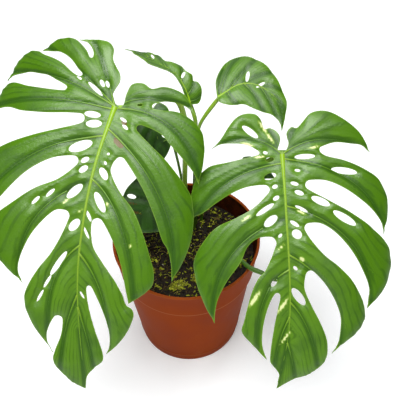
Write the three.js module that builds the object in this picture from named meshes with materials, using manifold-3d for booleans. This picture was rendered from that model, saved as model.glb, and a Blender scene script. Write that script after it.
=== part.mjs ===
// A young monstera in a plain nursery pot: seven leaf blades on their stalks, a short main stem,
// moss clumps and soil. Millimetres, +Z up; the origin is the centre of the pot's underside.
import * as THREE from 'three';
import { TessellateModifier } from 'three/addons/modifiers/TessellateModifier.js';
import { mergeVertices } from 'three/addons/utils/BufferGeometryUtils.js';
import Module from 'manifold-3d';

// ---- driving dimensions ---------------------------------------------------------------------
const RIM_RADIUS = 60;
const POT_HEIGHT = 125;
const FOOT_RADIUS = 46;
const BAND_HEIGHT = 29;
const BAND_FOOT_RADIUS = 57;
const WALL = 1.5;
const FLOOR_TOP = 5;
const FOOT_RING = 8;
const CHANNEL_DEPTH = 3;
const BOSS_RADIUS = 14;
const POT_SIDES = 48;
const DRAIN_HOLES = 6;
const DRAIN_RADIUS = 4;
const DRAIN_CIRCLE = 27;
const DRAIN_SIDES = 12;
const SOIL_EDGE = 105;
const SOIL_MOUND = 4;
const GAP = 0.3;
const BLADE_THICKNESS = 1.2;
const BLADE_FACET = 22;
const OUTLINE_STEP = 7;
const SMALLEST_HOLE = 6;
const HOLE_SIDES = 10;
const SPLIT_ROUNDS = 8;
const MERGE_DISTANCE = 1e-4;
const STALK_STEP = 9;
const STALK_SIDES = 8;
const STALK_CLEARANCE = 0.3;
const MOSS_CLEARANCE = 0.6;
const BAND_STEP = 1.2;
const LIP = 0.8;
const LIP_DEPTH = 2.6;
const LIP_ROUND = (LIP + WALL) / 2;
const LIP_ARC_STEPS = 7;
const EDGE = 1;
const RING_HEIGHT = 10;
const RING_STEP = 0.3;
const AERIAL_ROOT_RADIUS = 1.9;
const AERIAL_ROOT = [
  [30, -14, 109], [33, -16, 118], [41, -26, 130], [50, -36, 131.5], [60, -41, 131], [70, -45, 127],
];
const MAIN_STEM_RADIUS = 4;
const MAIN_STEM_FOOT = [-5, 37];
const MAIN_STEM = [[-5, 37, 116], [-4, 36, 124], [-2, 38, 131]];
const STALK_RISE = 4;
const JOINT_REACH = [-6, 3];
const DROOP_STEPS = 12;

// ---- leaf outlines --------------------------------------------------------------------------
// A blade is drawn flat, as [across, along] from the point where the stalk joins it. Each side is
// listed from the stalk to the leaf tip: a plain pair is a point on a smooth edge, tip() is the
// pointed end of a lobe, and bay() is the round inner end of the slit between two lobes.
const tip = (across, along) => ({ kind: 'tip', at: [across, along] });
const bay = (across, along, radius) => ({ kind: 'bay', at: [across, along], radius });

const LEFT_BLADE = {
  base: [-41.5, -5, 264],
  heading: 0,
  pitch: 33,
  droop: 27,
  roll: 0,
  twist: 0,
  fold: 10,
  arch: 0.008,
  veinLean: [62, 28],
  midrib: [[0, 0], [-13.5, 44], [-22, 92], [-24, 126], [-22, 186.5]],
  sides: [
    [
      [-0.5, -3], [-1.5, -8], [3, -16.5], [3, -21.5], [1, -25.5], [-1.7, -31.5], [-1.5, -38.5],
      [-4.5, -43], [-11.5, -45.7],
      tip(-24, -45.6),
      [-18.5, -43.2], [-15, -37.5], bay(-16, -34, 1.3), [-19.3, -38], [-24.7, -44.2],
      [-28, -46.7], [-35, -48], [-41, -47.5], [-46, -45.2],
      tip(-51, -41.6),
      [-44, -40.3], [-38.5, -39], [-32.8, -35.6], [-28.7, -31.7], [-24.6, -26],
      bay(-23.2, -22, 1.6), [-27.5, -22.8], [-35.5, -30.4], [-41, -34], [-49.5, -38.4],
      [-53.5, -41.3], [-59, -42.3], [-64, -40.5], [-68, -38], [-72.5, -34], [-75, -30],
      tip(-77, -22.8),
      [-74.6, -26.2], [-66, -27.3], [-59, -27], [-52, -25], [-45.5, -23], [-39.5, -19.3],
      bay(-32.8, -12.8, 1.8), [-41, -12], [-58, -16], [-72.5, -20.7], [-78, -18], [-83, -11],
      tip(-88, -2),
      [-78.5, -3.5], [-71, -2.5], [-63, 0.5], [-56, 2], [-44, 3.6], [-27, 4.2],
      bay(-22, 7.8, 3.3), [-35, 14.2], [-53, 18], [-69, 22.3], [-79, 26.5], [-88, 34],
      [-92, 46], [-91.5, 58],
      tip(-88, 68.5),
      [-79, 63], [-69, 53], [-55, 40.6], [-39, 33], bay(-25.3, 34.8, 3.2), [-34.5, 45.8],
      [-49, 51.5], [-64, 60.3], [-79, 70.5], [-85, 76], [-88, 84], [-84, 91], [-73, 98],
      [-68, 104],
      tip(-59, 112.2),
      [-61.8, 106.5], [-61.8, 100], [-56.2, 86.5], [-47, 74.3], [-36.5, 65.6],
      bay(-31.5, 69.2, 3.8), [-32, 79.5], [-39.4, 92], [-49.2, 104], [-56.9, 117], [-57.7, 125],
      [-54, 138], [-48.5, 148],
      tip(-42, 159.2),
      [-44.8, 153], [-45, 146], [-42.3, 139], bay(-37.2, 136.5, 3), [-35.8, 147],
      [-40.2, 157.5], [-42, 164.2], [-39.5, 171.5], [-34.5, 176.8], [-29, 182.5],
      tip(-22, 186.5),
    ],
    [
      [3.2, 0.6], [5, -1], [7.5, -9], [11, -14.5], [18, -15], [23.5, -11.5], [31, -12.7],
      [38.5, -11], [45, -7.5], [49, -2],
      tip(51.8, 4.5),
      [47, 0], [41, -2.5], [32, -3.5], bay(25.7, 0, 1.8), [30, 2.6], [41.5, 3.7], [50.5, 9],
      [56.2, 16], [58.2, 27.5], [57, 41],
      tip(55, 49),
      [51, 41.5], [44, 33.4], [36, 25], [30, 18.2], bay(16.5, 14.5, 2.3), [25.5, 27.4],
      [31.5, 33], [41.5, 45], [49.5, 57.5], [51, 67.5], [51, 78], [46, 97],
      tip(37, 113),
      [36.8, 102.3], [34, 91], [31, 86], [26, 71], [20, 56], [13.5, 44], bay(4.2, 36, 3.4),
      [-1.6, 40], [-0.3, 46], [4.5, 55], [12.5, 66], [17.8, 79], [22, 93], [25, 106], [24, 114],
      [17, 121],
      tip(8.6, 126),
      [7, 117], [4.5, 101.5], [0, 86.5], bay(-10.2, 74.4, 3.6), [-13.3, 88], [-7.3, 99],
      [-0.3, 109.5], [4.8, 119.5], [7.3, 127], [10.5, 129.3], [11.8, 133], [9.8, 139.5],
      [5.6, 147.4], [-2.5, 157],
      tip(-7.6, 161.4),
      [-5.4, 157], [-4.5, 149], [-6, 139.5], [-9.2, 128.5], bay(-16.5, 115.3, 1.5),
      [-16.8, 130.5], [-13.3, 145], [-9.8, 158], [-9.4, 165], [-15, 170.7], [-20.2, 176.5],
      tip(-22, 186.5),
    ],
  ],
  holes: [
    [-14.3, 5.2, 6, 2.3], [-12.8, 11.2, 5, 2.4], [-21, 25.4, 7.8, 3.3], [-18, 34.3, 2.8, 1.6],
    [-19, 40, 3.2, 1.8], [-24.5, 53.8, 6.3, 2.6], [-39.8, 54.8, 3.6, 1.1], [-49, 59.4, 3.4, 1],
    [-24.7, 75, 4.6, 2.6], [-35.3, 99.4, 9.3, 1.7], [-42.6, 110.9, 4.6, 0.9],
    [-47.6, 120.2, 4.3, 0.8], [5.8, 8.8, 2.6, 1], [7, 13.5, 2.4, 1], [-3.4, 30.5, 0.9, 0.9],
    [-5.1, 36.3, 1.3, 0.8], [-6.3, 43, 4.3, 2.3], [-8.7, 60.8, 7, 2.4], [-15.6, 69.4, 3.8, 1.1],
    [-17.3, 79.9, 4.2, 0.9], [16, -1, 1.8, 0.9], [-12.6, -12, 6.5, 1.4],
    [-8.2, -15.4, 2.6, 1.3], [-4.9, -15.2, 2.4, 1.2], [-23.2, -19.2, 2, 0.8],
    [-20.9, 120, 2.7, 0.8],
  ],
};

const RIGHT_BLADE = {
  base: [66.3, -17, 233.7],
  heading: 0,
  pitch: 35,
  droop: 22,
  roll: 0,
  twist: 0,
  fold: 10,
  arch: 0.008,
  veinLean: [72, 65],
  midrib: [[0, 0], [2.5, 40], [5.5, 95], [4.5, 124], [-2, 160]],
  sides: [
    [
      [-2.9, -2.9], [-1, -10.7], [-3.3, -15.3], [-8, -18], [-11, -17], [-14, -23.3],
      [-17.6, -26.7], [-24, -27], [-30.5, -24], [-36, -17.3], [-41, -10],
      tip(-47, -4.3),
      [-41, -7], [-32, -7.3], [-23, -6], bay(-16.5, -0.8, 1.5), [-35, 5.3], [-48, 8],
      [-53.5, 12], [-57, 15.3], [-61, 28], [-62.5, 38],
      tip(-63, 52),
      [-59.5, 41.7], [-53.5, 39], [-43.5, 32], [-35, 26.7], [-24, 22], bay(-11.5, 23.5, 3),
      [-19, 35.3], [-30, 41.7], [-44, 48.7], [-55, 62], [-59, 71.3], [-58, 82.7], [-54, 96],
      [-49, 107],
      tip(-45, 113.5),
      [-45, 108], [-43, 97.5], [-36.5, 84], [-27.5, 71], [-23, 61], [-16.7, 55.5],
      bay(-8.3, 58.5, 4.3), [-11.5, 77], [-15, 80.5], [-19.5, 89.5], [-23, 102], [-25, 111],
      [-26.5, 117.5], [-20, 126.5],
      tip(-9, 138.5),
      [-12.3, 128.5], [-12.3, 116.5], [-9.5, 103], [-6, 94.5], bay(-3, 93.5, 2), [-3.5, 108],
      [-5.5, 121.5], [-6.8, 135], [-6.5, 140.5], [-0.7, 149],
      tip(-2, 160),
    ],
    [
      [2.9, -2.9], [4.3, -7.3], [3.3, -14.7], [6.7, -18.7], [10, -18], [14.7, -22.7],
      [19, -27.3], [26, -29.3], [35.5, -27.3], [46.5, -20.7], [55.5, -12.7],
      tip(61, -2.7),
      [55, -7], [46.5, -8], [35.5, -8.3], bay(27, -3, 2.3), [28, 0.7], [41.5, 4], [55.5, 9.3],
      [66, 16], [72, 26.7], [73.5, 40],
      tip(70.5, 53),
      [70, 47], [65.5, 40], [53.5, 30], [39.5, 21.3], [28, 17.3], bay(18, 20.3, 3), [31.5, 31],
      [46.5, 39], [60.5, 48.5], [72, 59.5], [75, 70], [74, 80.5], [67.5, 94.5],
      tip(58.5, 103),
      [60, 90], [54, 75.5], [44.5, 61], [33.5, 50], [24.7, 45.3], bay(17.7, 48.5, 3.3),
      [19, 56.5], [28, 66.5], [37, 73.5], [46.5, 83.3], [55, 98.5], [56.5, 108], [53, 116.5],
      [45, 125],
      tip(34.5, 133.5),
      [38.7, 127.5], [40, 120], [40, 109], [36, 97.5], [29, 86], bay(18.8, 80, 3.3), [14.8, 88],
      [19.2, 98.8], [26.3, 112.5], [31, 125], [31, 136], [28, 142.5], [19, 148.8], [6.7, 154.5],
      tip(-2, 160),
    ],
  ],
  holes: [
    [-21, -15, 6.4, 2], [-11, -1, 1.6, 1.1], [-8, 3.5, 2.8, 1.5], [-8, 14.7, 4.2, 2.1],
    [-5, 21.5, 1.9, 1.3], [-4.2, 29, 2.3, 1.4], [-11.5, 36.5, 7, 1.6], [-7.5, 44, 5.3, 2.8],
    [-1.5, 53.5, 1.6, 1], [15, 1.5, 6.8, 1.6], [41.5, 10.8, 8.8, 2.1], [10, 10.7, 1.9, 0.9],
    [8, 19.5, 2.7, 1.2], [11, 25.5, 3.1, 1.5], [25, 31, 6.6, 2.3], [12.5, 36, 4.6, 1.1],
    [41, 42, 9, 2.4], [8, 45.7, 3.4, 1.3], [9.5, 52.5, 3.5, 2.9], [8.7, 75, 1.8, 1],
    [11, 94, 7, 2.7], [-5, 85, 2.9, 1.4],
  ],
};

const ROLLED_BLADE = {
  base: [5, 31, 238],
  heading: -125,
  pitch: -60,
  droop: 78,
  roll: -35,
  twist: 75,
  fold: 16,
  arch: 0.02,
  veinLean: [60, 30],
  midrib: [[0, 0], [-2.5, 13], [-3.5, 24], [0, 38], [0, 65]],
  sides: [
    [
      [-1, -2], [-5, -3], [-9, 0], [-12, 5], [-12, 9], [-10, 11], [-12, 14], [-10.5, 19],
      [-11, 24], [-9, 29], [-6, 34], [-7.5, 40], [-7, 46], [-3.5, 54],
      tip(0, 65),
    ],
    [
      [1.5, -1], [1.5, 5], [-0.5, 13], [-1.5, 24], [2, 32], [6, 40], [7, 47], [4, 56],
      tip(0, 65),
    ],
  ],
  holes: [[-3.5, 43, 5, 1.4], [-6.5, 18, 5, 1.2]],
};

const HEART_BLADE = {
  base: [24.5, 25, 247.5],
  heading: 68,
  pitch: 8,
  droop: 20,
  roll: 25,
  twist: 0,
  fold: 6,
  arch: 0.008,
  veinLean: [60, 30],
  midrib: [[0, 0], [15, 10], [20, 24], [14, 40], [0, 50]],
  sides: [
    [
      [-3, 1.5], [-3.5, 4], [-2, 10.5], [2.5, 18], [3, 26], [4.5, 33], [6, 40], [4, 46],
      tip(0, 50),
    ],
    [
      [2, -2], [10.5, -6], [21, -6.5], [29, -4], [34.5, 1], [37, 9], [36, 19], [31, 29],
      [23, 39], [19, 43], [9.5, 47],
      tip(0, 50),
    ],
  ],
  holes: [[22.5, 12, 4, 1.2], [21, 22, 3.6, 1]],
};

const INNER_BLADE = {
  base: [-23, 27, 233],
  heading: 20,
  pitch: 40,
  droop: 14,
  roll: 0,
  twist: 0,
  fold: 8,
  arch: 0.012,
  veinLean: [60, 30],
  midrib: [[0, 0], [0, 18], [0, 36]],
  sides: [
    [
      [-2, -2], [-7, -5], [-12, -1], [-14, 8], [-12, 19], [-7, 29],
      tip(0, 36),
    ],
    [
      [2, -2], [7, -5], [12, -1], [13, 8], [11, 19], [6.5, 29],
      tip(0, 36),
    ],
  ],
  holes: [[7, 20, 4, 1.3]],
};

const LOW_BLADE = {
  base: [-10, 10, 170],
  heading: -66,
  pitch: 22,
  droop: 18,
  roll: -40,
  twist: 0,
  fold: 6,
  arch: 0.01,
  veinLean: [60, 30],
  midrib: [[0, 0], [0, 25], [0, 50]],
  sides: [
    [
      [-2, -2], [-9, -6], [-18, -4], [-23, 4], [-23, 16], [-20, 30], [-11, 42],
      tip(0, 50),
    ],
    [
      [2, -2], [9, -6], [18, -4], [23, 4], [24, 16], [20, 30], [11, 42],
      tip(0, 50),
    ],
  ],
  holes: [[-14, 28, 3.5, 1.6]],
};

const SIDE_BLADE = {
  base: [44, 4, 203],
  heading: 75,
  pitch: 12,
  droop: 14,
  roll: 0,
  twist: 0,
  fold: 8,
  arch: 0.012,
  veinLean: [60, 30],
  midrib: [[0, 0], [0, 12], [0, 24]],
  sides: [
    [
      [-2, -2], [-6, -3], [-9, 1], [-9, 8], [-7, 14], [-4, 19],
      tip(0, 24),
    ],
    [
      [2, -2], [6, -3], [9, 1], [9, 8], [7, 14], [4, 19],
      tip(0, 24),
    ],
  ],
  holes: [],
};

// ---- leaf blades ----------------------------------------------------------------------------
const radians = THREE.MathUtils.degToRad;

// Height of a smooth curve through points listed as [value, position], at any position.
function smoothValue(points, position) {
  const last = points.length - 2;
  let k = points.findIndex((point) => point[1] > position) - 1;
  k = k < 0 ? (position < points[0][1] ? 0 : last) : Math.min(k, last);
  const slope = (i, j) => (points[j][0] - points[i][0]) / (points[j][1] - points[i][1]);
  const [before, after] = [Math.max(k - 1, 0), Math.min(k + 2, last + 1)];
  const [start, end] = [slope(before, k + 1), slope(k, after)];
  const span = points[k + 1][1] - points[k][1];
  const t = (position - points[k][1]) / span;
  if (t < 0) return points[k][0] + start * t * span;
  if (t > 1) return points[k + 1][0] + end * (t - 1) * span;
  const blend = t * t * (3 - 2 * t);
  const bend = t * (1 - t) * ((1 - t) * start - t * end) * span;
  return points[k][0] * (1 - blend) + points[k + 1][0] * blend + bend;
}

// The unit directions along the blade, across it and out of its upper face, at a distance along.
function bladeFrame(blade, along) {
  const share = along / blade.midrib.at(-1)[1];
  const pitch = radians(blade.pitch + blade.droop * share);
  const roll = radians(blade.roll + blade.twist * share);
  const heading = radians(blade.heading);
  const ahead = new THREE.Vector3(
    Math.cos(pitch) * Math.sin(heading), -Math.cos(pitch) * Math.cos(heading), -Math.sin(pitch));
  const level = new THREE.Vector3(Math.cos(heading), Math.sin(heading), 0);
  const side = level.clone().applyAxisAngle(ahead, roll);
  return { ahead, side, out: new THREE.Vector3().crossVectors(ahead, side) };
}

// Where a point of the flat drawing lies in space: the blade droops along its length, folds up
// from the midrib and then arches down towards both edges.
function bladePoint(blade, across, along, height) {
  const point = new THREE.Vector3(...blade.base);
  for (let i = 0; i < DROOP_STEPS; i += 1) {
    const { ahead } = bladeFrame(blade, (along * (i + 0.5)) / DROOP_STEPS);
    point.addScaledVector(ahead, along / DROOP_STEPS);
  }
  const rib = smoothValue(blade.midrib, along);
  const reach = Math.abs(across - rib);
  const fold = radians(blade.fold);
  const tilt = fold - blade.arch * reach;
  const run = (Math.sin(fold) - Math.sin(tilt)) / blade.arch;
  const rise = (Math.cos(tilt) - Math.cos(fold)) / blade.arch;
  const sign = Math.sign(across - rib) || 1;
  const { side, out } = bladeFrame(blade, along);
  point.addScaledVector(side, rib + sign * run - sign * height * Math.sin(tilt));
  return point.addScaledVector(out, rise + height * Math.cos(tilt));
}

// The round inner end of a slit, as three points of its arc between the edges before and after.
function bayArc({ at, radius }, before, after) {
  const centre = new THREE.Vector2(...at);
  const toBefore = new THREE.Vector2(...before).sub(centre).normalize();
  const toAfter = new THREE.Vector2(...after).sub(centre).normalize();
  const inward = toBefore.clone().add(toAfter).normalize().negate();
  const across = new THREE.Vector2(-inward.y, inward.x);
  if (across.dot(toBefore) < 0) across.negate();
  return [
    centre.clone().addScaledVector(across, radius),
    centre.clone().addScaledVector(inward, radius),
    centre.clone().addScaledVector(across, -radius),
  ];
}

// One side of the outline as a list of points, smooth between lobe tips. The leaf tip is left off.
function sidePoints(side) {
  const place = (entry) => (Array.isArray(entry) ? entry : entry.at);
  const stretches = [[]];
  side.forEach((entry, i) => {
    if (Array.isArray(entry)) {
      stretches.at(-1).push(new THREE.Vector2(...entry));
    } else if (entry.kind === 'bay') {
      stretches.at(-1).push(...bayArc(entry, place(side[i - 1]), place(side[i + 1])));
    } else {
      const corner = new THREE.Vector2(...entry.at);
      stretches.at(-1).push(corner);
      stretches.push([corner]);
    }
  });
  stretches.pop();
  return stretches.flatMap((points) => {
    const knots = points.map((point) => new THREE.Vector3(point.x, point.y, 0));
    const curve = new THREE.CatmullRomCurve3(knots, false, 'centripetal');
    const steps = Math.ceil(curve.getLength() / OUTLINE_STEP);
    const spaced = curve.getSpacedPoints(steps).slice(0, -1);
    return spaced.map((point) => new THREE.Vector2(point.x, point.y));
  });
}

// The direction of the side veins at a place on the blade: fanned out behind the stalk, and
// turning towards the tip further along.
function veinDirection(blade, across, along) {
  if (along < 0) return new THREE.Vector2(across, along).normalize();
  const [finalLean, distance] = blade.veinLean;
  const lean = radians(finalLean) * (1 - Math.exp(-along / distance));
  const ribSlope = smoothValue(blade.midrib, along + 1) - smoothValue(blade.midrib, along - 1);
  const ribAngle = Math.atan2(ribSlope, 2);
  const sign = across < smoothValue(blade.midrib, along) ? -1 : 1;
  const direction = new THREE.Vector2(sign * Math.cos(lean), Math.sin(lean));
  return direction.rotateAround(new THREE.Vector2(), -ribAngle);
}

// An oval hole listed as [across, along, half length, half width], lying along the side veins.
function holePath(blade, [across, along, halfLength, halfWidth]) {
  const angle = veinDirection(blade, across, along).angle();
  const turn = 2 * Math.PI;
  const oval = new THREE.EllipseCurve(across, along, halfLength, halfWidth, 0, turn, true, angle);
  return new THREE.Path(oval.getPoints(HOLE_SIDES).slice(0, -1));
}

// The flat drawing as a triangle sheet whose triangles are small enough to bend smoothly.
function flatBlade(blade) {
  const [left, right] = blade.sides.map(sidePoints);
  const leafTip = new THREE.Vector2(...blade.sides[0].at(-1).at);
  const shape = new THREE.Shape([...left, leafTip, ...right.reverse()]);
  const open = blade.holes.filter((hole) => hole[2] + hole[3] > SMALLEST_HOLE);
  shape.holes.push(...open.map((hole) => holePath(blade, hole)));
  const sheet = new THREE.ShapeGeometry(shape);
  sheet.deleteAttribute('normal');
  sheet.deleteAttribute('uv');
  const split = new TessellateModifier(BLADE_FACET, SPLIT_ROUNDS).modify(sheet);
  return mergeVertices(split, MERGE_DISTANCE);
}

// The sheet bent to its place in space, given its thickness and closed along every edge.
function bladeGeometry(blade) {
  const sheet = flatBlade(blade);
  const { position } = sheet.attributes;
  const layers = [-BLADE_THICKNESS / 2, BLADE_THICKNESS / 2];
  const points = layers.flatMap((height) => {
    const layer = [];
    for (let i = 0; i < position.count; i += 1) {
      layer.push(bladePoint(blade, position.getX(i), position.getY(i), height));
    }
    return layer;
  });
  const top = position.count;
  const faces = [];
  const openEdges = new Map();
  const corners = sheet.index.array;
  for (let i = 0; i < corners.length; i += 3) {
    const [a, b, c] = corners.slice(i, i + 3);
    faces.push(a, b, c, top + c, top + b, top + a);
    for (const [from, to] of [[a, b], [b, c], [c, a]]) {
      if (!openEdges.delete(`${to} ${from}`)) openEdges.set(`${from} ${to}`, [from, to]);
    }
  }
  for (const [from, to] of openEdges.values()) {
    faces.push(to, from, top + from, to, top + from, top + to);
  }
  const geometry = new THREE.BufferGeometry().setFromPoints(points);
  geometry.setIndex(faces);
  return geometry;
}

// ---- stalks, stem and root ------------------------------------------------------------------
// A round stalk through the listed points.
function stalkGeometry(points, radius) {
  const knots = points.map((point) => new THREE.Vector3(...point));
  const route = new THREE.CatmullRomCurve3(knots, false, 'centripetal');
  const section = new THREE.Shape().absarc(0, 0, radius, 0, 2 * Math.PI);
  return new THREE.ExtrudeGeometry(section, {
    steps: Math.ceil(route.getLength() / STALK_STEP),
    curveSegments: STALK_SIDES / 2,
    extrudePath: route,
    bevelEnabled: false,
  });
}

// A leaf's stalk: up from the soil through the listed points, then in under the blade's base.
function leafStalk(blade, radius, points) {
  const below = -(BLADE_THICKNESS / 2 + GAP + radius + STALK_CLEARANCE);
  const joint = JOINT_REACH.map((along) => {
    const rib = smoothValue(blade.midrib, along);
    return bladePoint(blade, rib, along, below).toArray();
  });
  return stalkGeometry([...points, ...joint], radius);
}

// ---- pot and soil ---------------------------------------------------------------------------
// A body turned round the pot's axis from [radius, height] points, standing up along z.
function lathe(profile) {
  const points = profile.map((point) => new THREE.Vector2(...point));
  return new THREE.LatheGeometry(points, POT_SIDES).rotateX(Math.PI / 2);
}

// Outer radius of the tapered wall below the rim band.
function wallRadius(height) {
  const top = POT_HEIGHT - BAND_HEIGHT;
  return THREE.MathUtils.mapLinear(height, 0, top, FOOT_RADIUS, BAND_FOOT_RADIUS - BAND_STEP);
}

// Radius of the inside of the pot.
function insideRadius(height) {
  const bandFoot = POT_HEIGHT - BAND_HEIGHT;
  if (height < bandFoot) return wallRadius(height) - WALL;
  const bandTop = RIM_RADIUS - LIP;
  return THREE.MathUtils.mapLinear(height, bandFoot, POT_HEIGHT, BAND_FOOT_RADIUS, bandTop) - WALL;
}

// The rounded lip as an arc from the outer face of the band over to the inside of the pot.
function lipArc() {
  const points = [];
  for (let i = 0; i <= LIP_ARC_STEPS; i += 1) {
    const angle = radians(THREE.MathUtils.lerp(-30, 180, i / LIP_ARC_STEPS));
    const radius = RIM_RADIUS - LIP_ROUND * (1 - Math.cos(angle));
    points.push([radius, POT_HEIGHT - LIP_ROUND * (1 - Math.sin(angle))]);
  }
  return points;
}

// The turned body of the pot with its drain holes cut through the floor.
function potGeometry(solid) {
  const bandFoot = POT_HEIGHT - BAND_HEIGHT;
  const channel = FOOT_RADIUS - FOOT_RING;
  const pot = solid(lathe([
    [0, 0],
    [BOSS_RADIUS, 0],
    [BOSS_RADIUS + EDGE, CHANNEL_DEPTH],
    [channel - EDGE, CHANNEL_DEPTH],
    [channel, 0],
    [FOOT_RADIUS - EDGE, 0],
    [wallRadius(EDGE), EDGE],
    [wallRadius(RING_HEIGHT), RING_HEIGHT],
    [wallRadius(RING_HEIGHT + EDGE) + RING_STEP, RING_HEIGHT + EDGE],
    [wallRadius(bandFoot - EDGE), bandFoot - EDGE],
    [BAND_FOOT_RADIUS, bandFoot],
    [RIM_RADIUS - LIP, POT_HEIGHT - LIP_DEPTH],
    ...lipArc(),
    [insideRadius(bandFoot + EDGE), bandFoot + EDGE],
    [insideRadius(bandFoot - EDGE), bandFoot - EDGE],
    [insideRadius(FLOOR_TOP), FLOOR_TOP],
    [0, FLOOR_TOP],
  ]));
  const drill = new THREE.CylinderGeometry(DRAIN_RADIUS, DRAIN_RADIUS, 3 * FLOOR_TOP, DRAIN_SIDES);
  drill.rotateX(Math.PI / 2);
  const drills = Array.from({ length: DRAIN_HOLES }, (_, i) => {
    const angle = (2 * Math.PI * i) / DRAIN_HOLES;
    const [x, y] = [DRAIN_CIRCLE * Math.cos(angle), DRAIN_CIRCLE * Math.sin(angle)];
    return solid(drill.clone().translate(x, y, 0));
  });
  return drills.reduce((body, hole) => body.subtract(hole), pot);
}

// Height of the gently mounded soil at a distance from the pot's axis.
function soilHeight(radius) {
  return SOIL_EDGE + SOIL_MOUND * (1 - (radius / insideRadius(SOIL_EDGE)) ** 2);
}

// The soil fills the pot from its floor to the mound.
function soilGeometry() {
  const bandFoot = POT_HEIGHT - BAND_HEIGHT;
  const edge = insideRadius(SOIL_EDGE) - GAP;
  const profile = [[0, FLOOR_TOP + GAP]];
  for (const height of [FLOOR_TOP + GAP, bandFoot - EDGE, bandFoot + EDGE]) {
    profile.push([insideRadius(height) - GAP, height]);
  }
  for (const share of [1, 0.75, 0.5, 0.25]) profile.push([share * edge, soilHeight(share * edge)]);
  profile.push([0, soilHeight(0)]);
  return lathe(profile);
}

// A low lump of moss lying on the soil.
function mossGeometry(width, depth, height) {
  return new THREE.IcosahedronGeometry(1, 1).scale(width / 2, depth / 2, height / 2);
}

// ---- joining and cutting --------------------------------------------------------------------
const wasm = await Module();
wasm.setup();

// A closed mesh as a solid that can be cut.
function toSolid(geometry) {
  const bare = geometry.clone();
  bare.deleteAttribute('normal');
  bare.deleteAttribute('uv');
  const merged = mergeVertices(bare, MERGE_DISTANCE);
  const vertProperties = new Float32Array(merged.attributes.position.array);
  const triVerts = new Uint32Array(merged.index.array);
  return new wasm.Manifold(new wasm.Mesh({ numProp: 3, vertProperties, triVerts }));
}

// A solid as a mesh geometry.
function toGeometry(solid) {
  const { vertProperties, triVerts } = solid.getMesh();
  const geometry = new THREE.BufferGeometry();
  geometry.setAttribute('position', new THREE.BufferAttribute(new Float32Array(vertProperties), 3));
  geometry.setIndex([...triVerts]);
  return geometry;
}

// ---- the plant ------------------------------------------------------------------------------
const COLOURS = {
  terracotta: [0x96421f, 0.45],
  soil: [0x2a1c12, 0.95],
  moss: [0x7d8a22, 0.9],
  leaf: [0x3f7a2a, 0.45],
  stalk: [0x6a9a34, 0.5],
  bark: [0x6b5a38, 0.85],
};

function part(name, geometry, finish, at = [0, 0, 0], turn = 0) {
  const [color, roughness] = COLOURS[finish];
  geometry.computeVertexNormals();
  const material = new THREE.MeshStandardMaterial({ color, roughness, metalness: 0 });
  const mesh = new THREE.Mesh(geometry, material);
  mesh.name = name;
  mesh.position.set(...at);
  mesh.rotation.z = radians(turn);
  return mesh;
}

// Each leaf: its name, its blade, its stalk's radius, where the stalk leaves the soil and the
// stalk's route up from there.
const LEAVES = [
  ['left', LEFT_BLADE, 2.4, [-1.5, 25], [
    [-1.3, 25, 150], [0.5, 25, 200], [0, 22.5, 236], [-12, 13, 254], [-26, 4, 258],
  ]],
  ['right', RIGHT_BLADE, 2.3, [5, 22], [[7, 21, 130], [13, 8, 168], [33, -5, 197], [52, -11, 217]]],
  ['rolled', ROLLED_BLADE, 1.6, [6, 33], [[6.5, 32, 150], [8, 30, 200], [8.5, 30, 222]]],
  ['heart', HEART_BLADE, 1.5, [7, 27.5], [[8, 25, 150], [9.5, 23.5, 205], [12, 24, 224]]],
  ['inner', INNER_BLADE, 1.3, [-1, 31.5], [[-3, 33, 150], [-12, 36, 205]]],
  ['low', LOW_BLADE, 1.4, [-8, 25], [[-8, 25, 130], [-7, 20, 156]]],
  ['side', SIDE_BLADE, 1.3, [12, 31], [[13, 30, 140], [20, 22, 180]]],
];

// Moss clumps: where each lies on the soil, its width, depth and height, and its turn.
const MOSS = [
  [-6, -36, 16, 11, 7, 10],
  [8, -28, 13, 9, 6, 60],
  [32, 14, 17, 12, 8, 35],
  [20, -2, 12, 9, 6, -20],
  [-28, -22, 12, 8, 5, 80],
  [40, -8, 10, 8, 5, 0],
];

const plant = new THREE.Group();
plant.add(part('pot', toGeometry(potGeometry(toSolid)), 'terracotta'));
plant.add(part('soil', soilGeometry(), 'soil'));
const stemFoot = soilHeight(Math.hypot(...MAIN_STEM_FOOT)) + GAP;
const stemRoute = [[...MAIN_STEM_FOOT, stemFoot], ...MAIN_STEM];
plant.add(part('main_stem', stalkGeometry(stemRoute, MAIN_STEM_RADIUS), 'bark'));
plant.add(part('aerial_root', stalkGeometry(AERIAL_ROOT, AERIAL_ROOT_RADIUS), 'stalk'));
for (const [name, blade, radius, [x, y], route] of LEAVES) {
  const foot = soilHeight(Math.hypot(x, y)) + GAP + STALK_CLEARANCE;
  const stalk = leafStalk(blade, radius, [[x, y, foot], [x, y, foot + STALK_RISE], ...route]);
  plant.add(part(`blade_${name}`, bladeGeometry(blade), 'leaf'));
  plant.add(part(`stalk_${name}`, stalk, 'stalk'));
}
MOSS.forEach(([x, y, width, depth, height, turn], i) => {
  const rest = soilHeight(Math.hypot(x, y)) + height / 2 + GAP + MOSS_CLEARANCE;
  plant.add(part(`moss_clump_${i + 1}`, mossGeometry(width, depth, height), 'moss', [x, y, rest], turn));
});

export default plant;
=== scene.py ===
# %% [markdown]
# # A young monstera in its nursery pot
# A monstera grown for sale: two big split leaves that have turned to the light, five smaller
# ones, a short stem hidden between the stalks, and a terracotta-coloured pot of dark peat.
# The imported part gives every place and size. This lesson adds what a solid model leaves out:
# leaves a half millimetre thick with veins pressed into them, stalks that swell where they
# join, crumbly peat, moss, and the finishes of each. Lengths are written in millimetres.

import math
import random

import bmesh
import bpy
import numpy as np
from mathutils import Matrix, Vector, noise


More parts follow.
